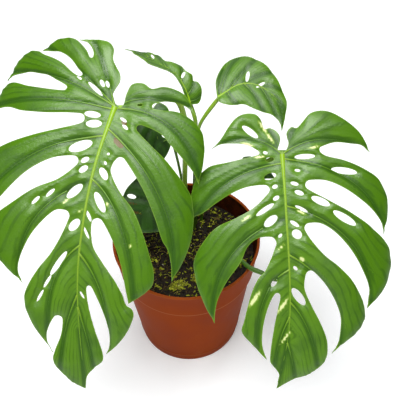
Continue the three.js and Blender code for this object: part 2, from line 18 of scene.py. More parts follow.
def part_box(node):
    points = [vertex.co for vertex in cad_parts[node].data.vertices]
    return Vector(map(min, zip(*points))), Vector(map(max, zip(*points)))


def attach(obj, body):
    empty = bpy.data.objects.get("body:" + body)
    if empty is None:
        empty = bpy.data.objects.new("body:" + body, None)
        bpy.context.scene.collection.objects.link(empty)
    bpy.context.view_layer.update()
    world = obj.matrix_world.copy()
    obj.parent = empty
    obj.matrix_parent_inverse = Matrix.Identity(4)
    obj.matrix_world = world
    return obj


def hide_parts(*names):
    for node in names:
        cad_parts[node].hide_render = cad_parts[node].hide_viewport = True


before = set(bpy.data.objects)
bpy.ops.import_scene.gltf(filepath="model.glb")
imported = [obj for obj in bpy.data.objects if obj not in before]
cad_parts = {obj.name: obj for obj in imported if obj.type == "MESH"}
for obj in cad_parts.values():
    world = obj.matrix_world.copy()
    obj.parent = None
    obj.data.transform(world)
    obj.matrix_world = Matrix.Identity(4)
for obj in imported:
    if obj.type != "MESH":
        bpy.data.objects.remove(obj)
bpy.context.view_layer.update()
MM = 0.001
print("nodes:", len(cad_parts))

# %% [markdown]
# ## The camera
# The plant is looked at from in front and above, steeply enough to see into the pot. Making
# the camera first means that every later step can be judged in the same view.

# %% Camera
CAMERA_PLACE = (17.6, -302.4, 509.2)
CAMERA_TILT = 40.9
CAMERA_LENS = 51.92

camera = bpy.data.objects.new("camera", bpy.data.cameras.new("camera"))
bpy.context.scene.collection.objects.link(camera)
camera.location = Vector(CAMERA_PLACE) * MM
camera.rotation_euler = (math.radians(CAMERA_TILT), 0, 0)
camera.data.lens = CAMERA_LENS
camera.data.sensor_width = 36
camera.data.clip_start = 0.01
bpy.context.scene.camera = camera
print("camera at", [round(v, 3) for v in camera.location])

# %% [markdown]
# ## Colours and nodes
# Blender shades in linear light, but colours are easiest to name as the hex values that a
# screen shows. One function converts them. Another adds any shader node, sets its properties
# and joins its inputs. With these, each material below reads as a short recipe: layers of
# colour painted over each other, then a fine relief. Patterns are sized in millimetres.


# %% Helpers: colours and nodes
def linear(hex_colour):
    """The linear colour, with alpha, of an sRGB hex value."""
    parts = [int(hex_colour[i:i + 2], 16) / 255 for i in (1, 3, 5)]
    return (*[p / 12.92 if p <= 0.04045 else ((p + 0.055) / 1.055) ** 2.4 for p in parts], 1.0)


def add(tree, kind, inputs=None, out=0, stops=None, **settings):
    """Adds a node and returns one output. Inputs are values or the outputs of other nodes."""
    made = tree.nodes.new("ShaderNode" + kind)
    for name, value in settings.items():
        setattr(made, name, value)
    for socket, value in (inputs or {}).items():
        if isinstance(value, bpy.types.NodeSocket):
            tree.links.new(value, made.inputs[socket])
        else:
            made.inputs[socket].default_value = value
    if stops:
        ramp = made.color_ramp
        while len(ramp.elements) < len(stops):
            ramp.elements.new(0.5)
        for element, (place, colour) in zip(ramp.elements, stops):
            element.position = place
            element.color = linear(colour)
    return made.outputs[out]


def scale_for(size):
    """The texture scale that gives a pattern of this size in millimetres."""
    return 1 / (size * MM)


print("terracotta in linear light:", [round(value, 3) for value in linear("#903b0c")])

# %% Helpers: a material in layers
SMOOTH = {"interpolation_type": "SMOOTHSTEP"}
BLEND_COLOURS = {"out": 2, "data_type": "RGBA"}


def new_material(name, roughness, ior=1.45, **shader_values):
    """A material with one Principled shader: returns it, its node tree and the shader."""
    material = bpy.data.materials.new(name)
    material.use_nodes = True
    shader = material.node_tree.nodes["Principled BSDF"]
    shader.inputs["Roughness"].default_value = roughness
    shader.inputs["IOR"].default_value = ior
    for socket, value in shader_values.items():
        shader.inputs[socket.replace("_", " ")].default_value = value
    print("material", name)
    return material, material.node_tree, shader


def paint(tree, under, over, value, low, high, start=0.0, end=1.0):
    """Paints a hex colour over another where a value rises from low to high.

    The cover goes smoothly from start to end meanwhile.
    """
    cover = add(tree, "MapRange", {0: value, 1: low, 2: high, 3: start, 4: end}, **SMOOTH)
    return add(tree, "Mix", {0: cover, 6: under, 7: linear(over)}, **BLEND_COLOURS)


def coat(tree, shader, colour, relief, strength, depth):
    """Joins a colour and a fine relief, with its depth in millimetres, to the shader."""
    tree.links.new(colour, shader.inputs["Base Color"])
    bump = add(tree, "Bump", {"Strength": strength, "Distance": depth * MM, "Height": relief})
    tree.links.new(bump, shader.inputs["Normal"])


# %% [markdown]
# ## Making pieces
# Every piece starts as a bmesh, Blender's editable mesh. When its shape is done it becomes an
# object at the origin, is shaded smooth apart from its sharp edges, rides on the part's one
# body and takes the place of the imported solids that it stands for.


# %% Helpers for pieces
def sharpen(bm, angle):
    """Shades every face smooth, but keeps the edges that turn by more than an angle crisp."""
    for face in bm.faces:
        face.smooth = True
    for edge in bm.edges:
        edge.smooth = len(edge.link_faces) == 2 and edge.calc_face_angle(0) < math.radians(angle)


def finish_piece(bm, name, materials, nodes=(), angle=50):
    """Makes a bmesh the named piece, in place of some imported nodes."""
    sharpen(bm, angle)
    mesh = bpy.data.meshes.new(name)
    bm.to_mesh(mesh)
    bm.free()
    piece = bpy.data.objects.new(name, mesh)
    bpy.context.scene.collection.objects.link(piece)
    for material in materials:
        mesh.materials.append(material)
    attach(piece, "root")
    if nodes:
        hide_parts(*nodes)
    print(name, "has", len(mesh.polygons), "faces")
    return piece


# %% [markdown]
# ## Pot plastic
# The pot is injection-moulded polypropylene, coloured all through like terracotta. The mould
# leaves a satin skin: roughness about 0.5, with faint clouding, a fine grain too small to see
# as bumps, and a little dust. The lip is painted paler, as light shining through the thin
# plastic. A painted highlight runs along the band's foot with a painted shadow just under it,
# and another painted highlight rings the pot near the floor. The inside is painted darker, as
# the shade inside the pot.

# %% Material: terracotta-coloured polypropylene
PLASTIC_IOR = 1.49
MOULD_GRAIN = 0.714
POT_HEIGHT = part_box("pot")[1].z / MM
BAND_FOOT = POT_HEIGHT - 29
RING_HEIGHT = 10.4


def paint_line(tree, under, over, height, middle, half_width):
    """Paints a thin level line at a height in millimetres, fading out above and below."""
    gap = add(tree, "Math", {0: height, 1: middle * MM}, operation="SUBTRACT")
    gap = add(tree, "Math", {0: gap}, operation="ABSOLUTE")
    return paint(tree, under, over, gap, 0, half_width * MM, 0.7, 0)


plastic, tree, shader = new_material(
    "terracotta_polypropylene", 0.5, PLASTIC_IOR, Specular_IOR_Level=0.02)
place = add(tree, "TexCoord", out="Object")
height = add(tree, "SeparateXYZ", {0: place}, "Z")
cloud = add(tree, "TexNoise", {"Vector": place, "Scale": scale_for(45.5), "Detail": 4})
dust = add(tree, "TexNoise", {"Vector": place, "Scale": scale_for(16.7), "Detail": 6})
grain = add(tree, "TexNoise", {"Vector": place, "Scale": scale_for(MOULD_GRAIN), "Detail": 2})
colour = paint(tree, linear("#863307"), "#903b0c", cloud, 0.35, 0.68)
# Painted light: the lip is paler, as light shining through the thin plastic.
lip_ends = (POT_HEIGHT - 2.4) * MM, (POT_HEIGHT - 0.6) * MM
colour = paint(tree, colour, "#9c4a1e", height, *lip_ends)
# Painted highlight: a thin pale line along the band's foot.
colour = paint_line(tree, colour, "#b06a48", height, BAND_FOOT, 0.9)
# Painted shadow: a dark line on the wall just under the band's overhang.
colour = paint_line(tree, colour, "#5e2003", height, BAND_FOOT - 2, 1.3)
# Painted highlight: a thin pale line along the ring near the floor.
colour = paint_line(tree, colour, "#a05a38", height, RING_HEIGHT, 0.8)
colour = paint(tree, colour, "#b98a6c", dust, 0.62, 0.78, 0.0, 0.06)
coat(tree, shader, colour, grain, 0.12, 0.2)
roughness = add(tree, "MapRange", {0: cloud, 1: 0.3, 2: 0.7, 3: 0.42, 4: 0.58}, **SMOOTH)
tree.links.new(roughness, shader.inputs["Roughness"])

# %% Material: the same plastic, painted darker inside as shade
# Painted shade: the inner wall is a darker, mottled copy of the plastic, for the shade inside the
# pot.
shaded_inside_plastic, tree, shader = new_material(
    "painted_shade_inside", 0.6, PLASTIC_IOR, Specular_IOR_Level=0.1)
place = add(tree, "TexCoord", out="Object")
shade_mottle = add(tree, "TexNoise", {"Vector": place, "Scale": scale_for(11.1), "Detail": 5})
grain = add(tree, "TexNoise", {"Vector": place, "Scale": scale_for(MOULD_GRAIN), "Detail": 2})
colour = paint(tree, linear("#4a1c05"), "#2a1003", shade_mottle, 0.4, 0.65)
coat(tree, shader, colour, grain, 0.2, 0.2)

# %% [markdown]
# ## The pot
# A nursery pot is a thin cup with a straight tapered wall, a wider band round the top and a
# rounded lip. It is a turned shape, so its section is drawn once, as a chain of edges, and
# `spin` carries it round the axis. Arcs at the lip, the shoulder and the foot are worked out
# from their radii. The drain holes are cut through the floor with a Boolean, as a drill would.
# A Boolean forgets which edges were sharp, so they are marked again afterwards, and the inner
# faces are given the darker plastic that paints the shade inside the pot.

# %% Pot sizes
RIM_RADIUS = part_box("pot")[1].x / MM
FOOT_RADIUS = 46
FOOT_INSIDE = 38
BOSS_RADIUS = 14
CHANNEL = 3
SMALL_ROUND = 0.6
FOOT_ROUND = 1.1
BAND_FOOT_RADIUS = 57
STEP_IN = 1.6
WALL = 1.5
LIP_OUT = 0.8
LIP_ROUND = (LIP_OUT + WALL) / 2
FLOOR = 5
RING_OUT = 0.3
SPIN_STEPS = 144


def arc(radius, height, size, start, end, steps=6):
    """Points on a circle round (radius, height), from one angle to another."""
    angles = [math.radians(start + (end - start) * i / steps) for i in range(steps + 1)]
    return [(radius + size * math.cos(a), height + size * math.sin(a)) for a in angles]


def outer_wall(height):
    """Radius of the outer face below the band."""
    return FOOT_RADIUS + (BAND_FOOT_RADIUS - STEP_IN - FOOT_RADIUS) * height / BAND_FOOT


def inner_wall(height):
    """Radius of the inner face."""
    if height < BAND_FOOT:
        return outer_wall(height) - WALL
    share = (height - BAND_FOOT) / (POT_HEIGHT - BAND_FOOT)
    return BAND_FOOT_RADIUS + (RIM_RADIUS - LIP_OUT - BAND_FOOT_RADIUS) * share - WALL


print("pot:", round(POT_HEIGHT), "mm high,", round(2 * RIM_RADIUS), "mm across")

# %% Pot section
corner, wide = BOSS_RADIUS - SMALL_ROUND, FOOT_INSIDE + SMALL_ROUND
pot_section = [(0, 0), (corner, 0), *arc(corner, SMALL_ROUND, SMALL_ROUND, -90, 0, 3)]
pot_section += [(BOSS_RADIUS + 0.6, CHANNEL - 0.6), (BOSS_RADIUS + 1.6, CHANNEL)]
pot_section += [(FOOT_INSIDE - 1.4, CHANNEL), (FOOT_INSIDE - 0.6, CHANNEL - 0.6)]
pot_section += arc(wide, SMALL_ROUND, SMALL_ROUND, 180, 270, 3)
pot_section += arc(FOOT_RADIUS - FOOT_ROUND, FOOT_ROUND, FOOT_ROUND, -90, -4)
for above, out in ((-0.8, 0), (-0.4, RING_OUT), (0.4, RING_OUT), (1.0, 0)):
    pot_section.append((outer_wall(RING_HEIGHT + above) + out, RING_HEIGHT + above))
for below, out in ((4, 0), (1.6, 0), (1.1, -0.15)):
    pot_section.append((outer_wall(BAND_FOOT - below) + out, BAND_FOOT - below))
pot_section += arc(BAND_FOOT_RADIUS - 0.7, BAND_FOOT - 0.4, 0.7, -88, 0, 5)
pot_section += [(BAND_FOOT_RADIUS + 0.15, BAND_FOOT + 2)]
pot_section += [(RIM_RADIUS - LIP_OUT - 0.15, POT_HEIGHT - 3.6)]
pot_section += [(RIM_RADIUS - LIP_OUT + 0.05, POT_HEIGHT - 2.5)]
pot_section += arc(RIM_RADIUS - LIP_ROUND, POT_HEIGHT - LIP_ROUND, LIP_ROUND, -25, 180, 12)
for above in (2, -1):
    pot_section.append((inner_wall(BAND_FOOT + above), BAND_FOOT + above))
pot_section += arc(inner_wall(FLOOR) - 2, FLOOR + 2, 2, 0, -90, 4)
pot_section += [(0, FLOOR)]
print("pot section has", len(pot_section), "points")


# %% Spin the pot
def turned(section, steps=SPIN_STEPS):
    """A closed body turned round the z axis from a section that starts and ends on it."""
    bm = bmesh.new()
    points = [bm.verts.new((radius * MM, 0, height * MM)) for radius, height in section]
    edges = [bm.edges.new(pair) for pair in zip(points, points[1:])]
    bmesh.ops.spin(
        bm, geom=points + edges, cent=(0, 0, 0), axis=(0, 0, 1), dvec=(0, 0, 0),
        angle=2 * math.pi, steps=steps, use_merge=True)
    bmesh.ops.remove_doubles(bm, verts=bm.verts[:], dist=1e-6)
    bmesh.ops.recalc_face_normals(bm, faces=bm.faces[:])
    return bm


pot = finish_piece(
    turned(pot_section), "nursery_pot", [plastic, shaded_inside_plastic], ["pot"])

# %% Drill the drain holes
DRAIN_HOLES = 6
DRAIN_CIRCLE = 27
DRAIN_RADIUS = 4
DRILL_LENGTH = 20
CREASE = 22

bm = bmesh.new()
for i in range(DRAIN_HOLES):
    angle = 2 * math.pi * i / DRAIN_HOLES
    at = Vector((math.cos(angle), math.sin(angle), 0)) * DRAIN_CIRCLE * MM
    bmesh.ops.create_cone(
        bm, cap_ends=True, segments=32, radius1=DRAIN_RADIUS * MM, radius2=DRAIN_RADIUS * MM,
        depth=DRILL_LENGTH * MM, matrix=Matrix.Translation(at))
cutter_mesh = bpy.data.meshes.new("drill")
bm.to_mesh(cutter_mesh)
bm.free()
cutter = bpy.data.objects.new("drill", cutter_mesh)
bpy.context.scene.collection.objects.link(cutter)
drilling = pot.modifiers.new("drill", "BOOLEAN")
drilling.object = cutter
drilling.solver = "EXACT"
graph = bpy.context.evaluated_depsgraph_get()
drilled = bpy.data.meshes.new_from_object(pot.evaluated_get(graph))
pot.modifiers.clear()
bm = bmesh.new()
bm.from_mesh(drilled)
sharpen(bm, CREASE)
for face in bm.faces:
    middle = face.calc_center_median()
    faces_in = face.normal.dot(Vector((middle.x, middle.y, 0))) < -0.3 * middle.xy.length
    face.material_index = int(faces_in and (POT_HEIGHT - 3) * MM > middle.z > FLOOR * MM)
bm.to_mesh(drilled)
bm.free()
pot.data = drilled
bpy.data.objects.remove(cutter)
print("drilled pot has", len(drilled.polygons), "faces")

# %% [markdown]
# ## How a monstera leaf is put together
# A leaf is drawn flat first, as its outline would lie on paper: across and along from the
# point where the stalk joins. Each side runs from the stalk to the leaf's tip. A plain pair is
# a point on a smooth edge, `tip` is the pointed end of a lobe, and `bay` is the round inner
# end of the slit between two lobes. The holes lie along the veins, close to the midrib. The
# flat drawing is then bent: it droops along its length, folds up a little from the midrib and
# arches down towards its edges. Numbers are millimetres and degrees.


# %% Words for drawing a leaf
def tip(across, along):
    """The pointed end of a lobe."""
    return ("tip", across, along)


def bay(across, along, radius):
    """The round inner end of a slit."""
    return ("bay", across, along, radius)


BLADES = {}

# %% The left leaf, drawn flat
BLADES["left"] = {
    "base": (-41.5, -5, 264), "heading": 0, "pitch": 33, "droop": 27,
    "roll": 0, "twist": 0, "fold": 10, "arch": 0.008, "vein_lean": (62, 28),
    "midrib": [(0, 0), (-13.5, 44), (-22, 92), (-24, 126), (-22, 186.5)],
    "sides": [
        [
            (-0.5, -3), (-1.5, -8), (3, -16.5), (3, -21.5), (1, -25.5), (-1.7, -31.5),
            (-1.5, -38.5), (-4.5, -43), (-11.5, -45.7), tip(-24, -45.6), (-18.5, -43.2),
            (-15, -37.5), bay(-16, -34, 1.3), (-19.3, -38), (-24.7, -44.2), (-28, -46.7),
            (-35, -48), (-41, -47.5), (-46, -45.2), tip(-51, -41.6), (-44, -40.3), (-38.5, -39),
            (-32.8, -35.6), (-28.7, -31.7), (-24.6, -26), bay(-23.2, -22, 1.6), (-27.5, -22.8),
            (-35.5, -30.4), (-41, -34), (-49.5, -38.4), (-53.5, -41.3), (-59, -42.3), (-64, -40.5),
            (-68, -38), (-72.5, -34), (-75, -30), tip(-77, -22.8), (-74.6, -26.2), (-66, -27.3),
            (-59, -27), (-52, -25), (-45.5, -23), (-39.5, -19.3), bay(-32.8, -12.8, 1.8),
            (-41, -12), (-58, -16), (-72.5, -20.7), (-78, -18), (-83, -11), tip(-88, -2),
            (-78.5, -3.5), (-71, -2.5), (-63, 0.5), (-56, 2), (-44, 3.6), (-27, 4.2),
            bay(-22, 7.8, 3.3), (-35, 14.2), (-53, 18), (-69, 22.3), (-79, 26.5), (-88, 34),
            (-92, 46), (-91.5, 58), tip(-88, 68.5), (-79, 63), (-69, 53), (-55, 40.6), (-39, 33),
            bay(-25.3, 34.8, 3.2), (-34.5, 45.8), (-49, 51.5), (-64, 60.3), (-79, 70.5), (-85, 76),
            (-88, 84), (-84, 91), (-73, 98), (-68, 104), tip(-59, 112.2), (-61.8, 106.5),
            (-61.8, 100), (-56.2, 86.5), (-47, 74.3), (-36.5, 65.6), bay(-31.5, 69.2, 3.8),
            (-32, 79.5), (-39.4, 92), (-49.2, 104), (-56.9, 117), (-57.7, 125), (-54, 138),
            (-48.5, 148), tip(-42, 159.2), (-44.8, 153), (-45, 146), (-42.3, 139),
            bay(-37.2, 136.5, 3), (-35.8, 147), (-40.2, 157.5), (-42, 164.2), (-39.5, 171.5),
            (-34.5, 176.8), (-29, 182.5), tip(-22, 186.5),
        ],
        [
            (3.2, 0.6), (5, -1), (7.5, -9), (11, -14.5), (18, -15), (23.5, -11.5), (31, -12.7),
            (38.5, -11), (45, -7.5), (49, -2), tip(51.8, 4.5), (47, 0), (41, -2.5), (32, -3.5),
            bay(25.7, 0, 1.8), (30, 2.6), (41.5, 3.7), (50.5, 9), (56.2, 16), (58.2, 27.5),
            (57, 41), tip(55, 49), (51, 41.5), (44, 33.4), (36, 25), (30, 18.2),
            bay(16.5, 14.5, 2.3), (25.5, 27.4), (31.5, 33), (41.5, 45), (49.5, 57.5), (51, 67.5),
            (51, 78), (46, 97), tip(37, 113), (36.8, 102.3), (34, 91), (31, 86), (26, 71),
            (20, 56), (13.5, 44), bay(4.2, 36, 3.4), (-1.6, 40), (-0.3, 46), (4.5, 55), (12.5, 66),
            (17.8, 79), (22, 93), (25, 106), (24, 114), (17, 121), tip(8.6, 126), (7, 117),
            (4.5, 101.5), (0, 86.5), bay(-10.2, 74.4, 3.6), (-13.3, 88), (-7.3, 99), (-0.3, 109.5),
            (4.8, 119.5), (7.3, 127), (10.5, 129.3), (11.8, 133), (9.8, 139.5), (5.6, 147.4),
            (-2.5, 157), tip(-7.6, 161.4), (-5.4, 157), (-4.5, 149), (-6, 139.5), (-9.2, 128.5),
            bay(-16.5, 115.3, 1.5), (-16.8, 130.5), (-13.3, 145), (-9.8, 158), (-9.4, 165),
            (-15, 170.7), (-20.2, 176.5), tip(-22, 186.5),
        ],
    ],
    "holes": [
        (-13.8, 5.2, 5.2, 2.2), (-12.8, 11.2, 5, 2.4), (-21, 25.4, 7.8, 3.3), (-18, 34.3, 2.8, 1.6),
        (-19, 40, 3.2, 1.8), (-24.5, 53.8, 6.3, 2.6), (-39.8, 54.8, 3.6, 1.1), (-49, 59.4, 3.4, 1),
        (-24.7, 75, 4.6, 2.6), (-35.3, 99.4, 9.3, 1.7), (-42.6, 110.9, 4.6, 0.9),
        (-47.6, 120.2, 4.3, 0.8), (5.8, 8.8, 2.6, 1), (7, 13.5, 2.4, 1), (-3.4, 30.5, 0.9, 0.9),
        (-5.1, 36.3, 1.3, 0.8), (-6.3, 43, 4.3, 2.3), (-8.7, 60.8, 7, 2.4), (-15.6, 69.4, 3.8, 1.1),
        (-17.3, 79.9, 4.2, 0.9), (16, -1, 1.8, 0.9), (-12.6, -12, 6.5, 1.4),
        (-8.2, -15.4, 2.6, 1.3), (-4.9, -15.2, 2.4, 1.2), (-23.2, -19.2, 2, 0.8),
        (-20.9, 120, 2.7, 0.8),
    ],
    "veins": [
        [
            (0, (-5, -22), (-14, -44)), (0, (-18, -22), (-48, -44)), (0, (-34, -24), (-75, -30)),
            (2, (-42, -9), (-86, -6)), (19, (-58, 22), (-90, 62)), (47, (-62, 64), (-62, 109)),
            (88, (-46, 104), (-44, 156)), (120, (-34, 140), (-38, 172)),
        ],
        [
            (0, (18, -10), (49, 0)), (1, (42, 2), (56, 45)), (14, (42, 56), (38, 109)),
            (46, (10, 66), (12, 122)), (93, (-2, 118), (-6, 159)), (128, (-18, 150), (-16, 170)),
        ],
    ],
    "pale": [
        (-21, 66, 2, 1), (-30, 60, 4, 1), (-4, 62, 2, 1.2), (10, 88, 2, 1),
    ],
    "scars": [(3, 23.5, 5, 2.6), (6.5, 11, 2.4, 1.4)],
}

# %% The right leaf, drawn flat
BLADES["right"] = {
    "base": (66.3, -17, 233.7), "heading": 0, "pitch": 35, "droop": 22,
    "roll": 0, "twist": 0, "fold": 10, "arch": 0.008, "vein_lean": (72, 65),
    "midrib": [(0, 0), (2.5, 40), (5.5, 95), (4.5, 124), (-2, 160)],
    "sides": [
        [
            (-2.9, -2.9), (-1, -10.7), (-3.3, -15.3), (-8, -18), (-11, -17), (-14, -23.3),
            (-17.6, -26.7), (-24, -27), (-30.5, -24), (-36, -17.3), (-41, -10), tip(-47, -4.3),
            (-41, -7), (-32, -7.3), (-23, -6), bay(-16.5, -0.8, 1.5), (-35, 5.3), (-48, 8),
            (-53.5, 12), (-57, 15.3), (-61, 28), (-62.5, 38), tip(-63, 52), (-59.5, 41.7),
            (-53.5, 39), (-43.5, 32), (-35, 26.7), (-24, 22), bay(-11.5, 23.5, 3), (-19, 35.3),
            (-30, 41.7), (-44, 48.7), (-55, 62), (-59, 71.3), (-58, 82.7), (-54, 96), (-49, 107),
            tip(-45, 113.5), (-45, 108), (-43, 97.5), (-36.5, 84), (-27.5, 71), (-23, 61),
            (-16.7, 55.5), bay(-8.3, 58.5, 4.3), (-11.5, 77), (-15, 80.5), (-19.5, 89.5),
            (-23, 102), (-25, 111), (-26.5, 117.5), (-20, 126.5), tip(-9, 138.5), (-12.3, 128.5),
            (-12.3, 116.5), (-9.5, 103), (-6, 94.5), bay(-3, 93.5, 2), (-3.5, 108), (-5.5, 121.5),
            (-6.8, 135), (-6.5, 140.5), (-0.7, 149), tip(-2, 160),
        ],
        [
            (2.9, -2.9), (4.3, -7.3), (3.3, -14.7), (6.7, -18.7), (10, -18), (14.7, -22.7),
            (19, -27.3), (26, -29.3), (35.5, -27.3), (46.5, -20.7), (55.5, -12.7), tip(61, -2.7),
            (55, -7), (46.5, -8), (35.5, -8.3), bay(27, -3, 2.3), (28, 0.7), (41.5, 4),
            (55.5, 9.3), (66, 16), (72, 26.7), (73.5, 40), tip(70.5, 53), (70, 47), (65.5, 40),
            (53.5, 30), (39.5, 21.3), (28, 17.3), bay(18, 20.3, 3), (31.5, 31), (46.5, 39),
            (60.5, 48.5), (72, 59.5), (75, 70), (74, 80.5), (67.5, 94.5), tip(58.5, 103), (60, 90),
            (54, 75.5), (44.5, 61), (33.5, 50), (24.7, 45.3), bay(17.7, 48.5, 3.3), (19, 56.5),
            (28, 66.5), (37, 73.5), (46.5, 83.3), (55, 98.5), (56.5, 108), (53, 116.5), (45, 125),
            tip(34.5, 133.5), (38.7, 127.5), (40, 120), (40, 109), (36, 97.5), (29, 86),
            bay(18.8, 80, 3.3), (14.8, 88), (19.2, 98.8), (26.3, 112.5), (31, 125), (31, 136),
            (28, 142.5), (19, 148.8), (6.7, 154.5), tip(-2, 160),
        ],
    ],
    "holes": [
        (-21, -15, 6.4, 2), (-11, -1, 1.6, 1.1), (-8, 3.5, 2.8, 1.5), (-8, 14.7, 4.2, 2.1),
        (-5, 21.5, 1.9, 1.3), (-4.2, 29, 2.3, 1.4), (-11.5, 36.5, 7, 1.6), (-7.5, 44, 5.3, 2.8),
        (-1.5, 53.5, 1.6, 1), (15, 1.5, 6.8, 1.6), (41.5, 10.8, 8.8, 2.1), (10, 10.7, 1.9, 0.9),
        (8, 19.5, 2.7, 1.2), (11, 25.5, 3.1, 1.5), (25, 31, 6.6, 2.3), (12.5, 36, 4.6, 1.1),
        (41, 42, 9, 2.4), (8, 45.7, 3.4, 1.3), (9.5, 52.5, 3.5, 2.9), (8.7, 75, 1.8, 1),
        (11, 94, 7, 2.7), (-5, 85, 2.9, 1.4),
    ],
    "veins": [
        [
            (0, (-3, -9), (-8, -16)), (0, (-17, -17), (-45, -6)), (6, (-44, 12), (-61, 48)),
            (42, (-46, 58), (-47, 110)), (76, (-18, 88), (-16, 130)), (108, (-3, 124), (-4, 148)),
        ],
        [
            (0, (3, -9), (8, -17)), (0, (25, -18), (59, -4)), (3, (54, 8), (71, 48)),
            (34, (58, 48), (61, 98)), (66, (44, 88), (40, 128)), (98, (20, 112), (25, 142)),
            (126, (8, 136), (10, 151)),
        ],
    ],
    "pale": [
        (-12.5, -18, 6.5, 1.7), (-8, -11, 6, 1.5), (-23, -6.5, 6, 1.4), (-15, 2, 5, 1.2),
        (21, -4.5, 5, 1.2), (-1, 61, 4, 0.9), (13, 69, 3, 1.8), (0.5, 100, 9, 1.6),
        (3, 122, 8, 1.2), (-18, 95, 9, 2), (12, 38, 5, 1.2), (-24, 42, 5, 1.2),
    ],
    "scars": [],
}

# %% The rolled leaf, drawn flat
BLADES["rolled"] = {
    "base": (5, 31, 238), "heading": -125, "pitch": -60, "droop": 78,
    "roll": -35, "twist": 75, "fold": 16, "arch": 0.02, "vein_lean": (60, 30),
    "midrib": [(0, 0), (-2.5, 13), (-3.5, 24), (0, 38), (0, 65)],
    "sides": [
        [
            (-1, -2), (-5, -3), (-9, 0), (-12, 5), (-12, 9), (-10, 11), (-12, 14), (-10.5, 19),
            (-11, 24), (-9, 29), (-6, 34), (-7.5, 40), (-7, 46), (-3.5, 54), tip(0, 65),
        ],
        [
            (1.5, -1), (1.5, 5), (-0.5, 13), (-1.5, 24), (2, 32), (6, 40), (7, 47), (4, 56),
            tip(0, 65),
        ],
    ],
    "holes": [(-3.5, 43, 3.4, 1.1), (-7, 18, 2.6, 1.0)],
    "veins": [
        [
            (1, (-5, -1), (-9, 1)), (6, (-9, 8), (-12, 13)), (16, (-10, 20), (-11, 27)),
            (30, (-4, 36), (-7, 44)), (44, (-3, 50), (-3, 55)),
        ],
        [
            (6, (0, 12), (0, 18)), (22, (2, 30), (6, 40)), (40, (5, 46), (5, 53)),
        ],
    ],
    "pale": [],
    "scars": [],
}

# %% The heart leaf, drawn flat
BLADES["heart"] = {
    "base": (24.5, 25, 247.5), "heading": 68, "pitch": 8, "droop": 20,
    "roll": 25, "twist": 0, "fold": 6, "arch": 0.008, "vein_lean": (60, 30),
    "midrib": [(0, 0), (15, 10), (20, 24), (14, 40), (0, 50)],
    "sides": [
        [
            (-3, 1.5), (-3.5, 4), (-2, 10.5), (2.5, 18), (3, 26), (4.5, 33), (6, 40), (4, 46),
            tip(0, 50),
        ],
        [
            (2, -2), (10.5, -6), (21, -6.5), (29, -4), (34.5, 1), (37, 9), (36, 19), (31, 29),
            (23, 39), (19, 43), (9.5, 47), tip(0, 50),
        ],
    ],
    "holes": [(22.5, 12, 4, 1.2), (21, 22, 3.6, 1)],
    "veins": [
        [
            (4, (0, 10), (0, 20)), (12, (12, 24), (3, 34)), (22, (14, 32), (6, 42)),
        ],
        [
            (0, (10, -6), (20, -5)), (1, (22, -4), (33, 1)), (5, (26, 8), (37, 12)),
            (11, (28, 18), (34, 26)), (20, (26, 30), (25, 38)), (31, (18, 40), (12, 46)),
        ],
    ],
    "pale": [],
    "scars": [],
}

# %% The inner leaf, drawn flat
BLADES["inner"] = {
    "base": (-23, 27, 233), "heading": 20, "pitch": 40, "droop": 14,
    "roll": 0, "twist": 0, "fold": 8, "arch": 0.012, "vein_lean": (60, 30),
    "midrib": [(0, 0), (0, 18), (0, 36)],
    "sides": [
        [
            (-2, -2), (-7, -5), (-12, -1), (-14, 8), (-12, 19), (-7, 29), tip(0, 36),
        ],
        [
            (2, -2), (7, -5), (12, -1), (13, 8), (11, 19), (6.5, 29), tip(0, 36),
        ],
    ],
    "holes": [(7, 20, 4, 1.3)],
    "veins": [
        [
            (0, (-5, -4), (-9, -3)), (2, (-8, 4), (-13, 10)), (9, (-7, 14), (-11, 21)),
            (18, (-4, 23), (-6, 30)),
        ],
        [
            (0, (5, -4), (9, -3)), (2, (8, 4), (12, 10)), (9, (7, 14), (11, 21)),
            (18, (4, 23), (6, 30)),
        ],
    ],
    "pale": [],
    "scars": [],
}

# %% The low leaf, drawn flat
BLADES["low"] = {
    "base": (-10, 10, 170), "heading": -66, "pitch": 22, "droop": 18,
    "roll": -40, "twist": 0, "fold": 6, "arch": 0.01, "vein_lean": (60, 30),
    "midrib": [(0, 0), (0, 25), (0, 50)],
    "sides": [
        [
            (-2, -2), (-9, -6), (-18, -4), (-23, 4), (-23, 16), (-20, 30), (-11, 42), tip(0, 50),
        ],
        [
            (2, -2), (9, -6), (18, -4), (23, 4), (24, 16), (20, 30), (11, 42), tip(0, 50),
        ],
    ],
    "holes": [(-14, 28, 3.5, 1.6)],
    "veins": [
        [
            (0, (-7, -5), (-15, -5)), (1, (-13, 0), (-22, 6)), (8, (-14, 12), (-22, 20)),
            (18, (-12, 24), (-19, 32)), (30, (-6, 36), (-10, 43)),
        ],
        [
            (0, (7, -5), (15, -5)), (1, (13, 0), (22, 6)), (8, (14, 12), (23, 20)),
            (18, (12, 24), (19, 32)), (30, (6, 36), (10, 43)),
        ],
    ],
    "pale": [],
    "scars": [(-3, 34, 9, 0.7), (-9, 30, 5, 0.6)],
}

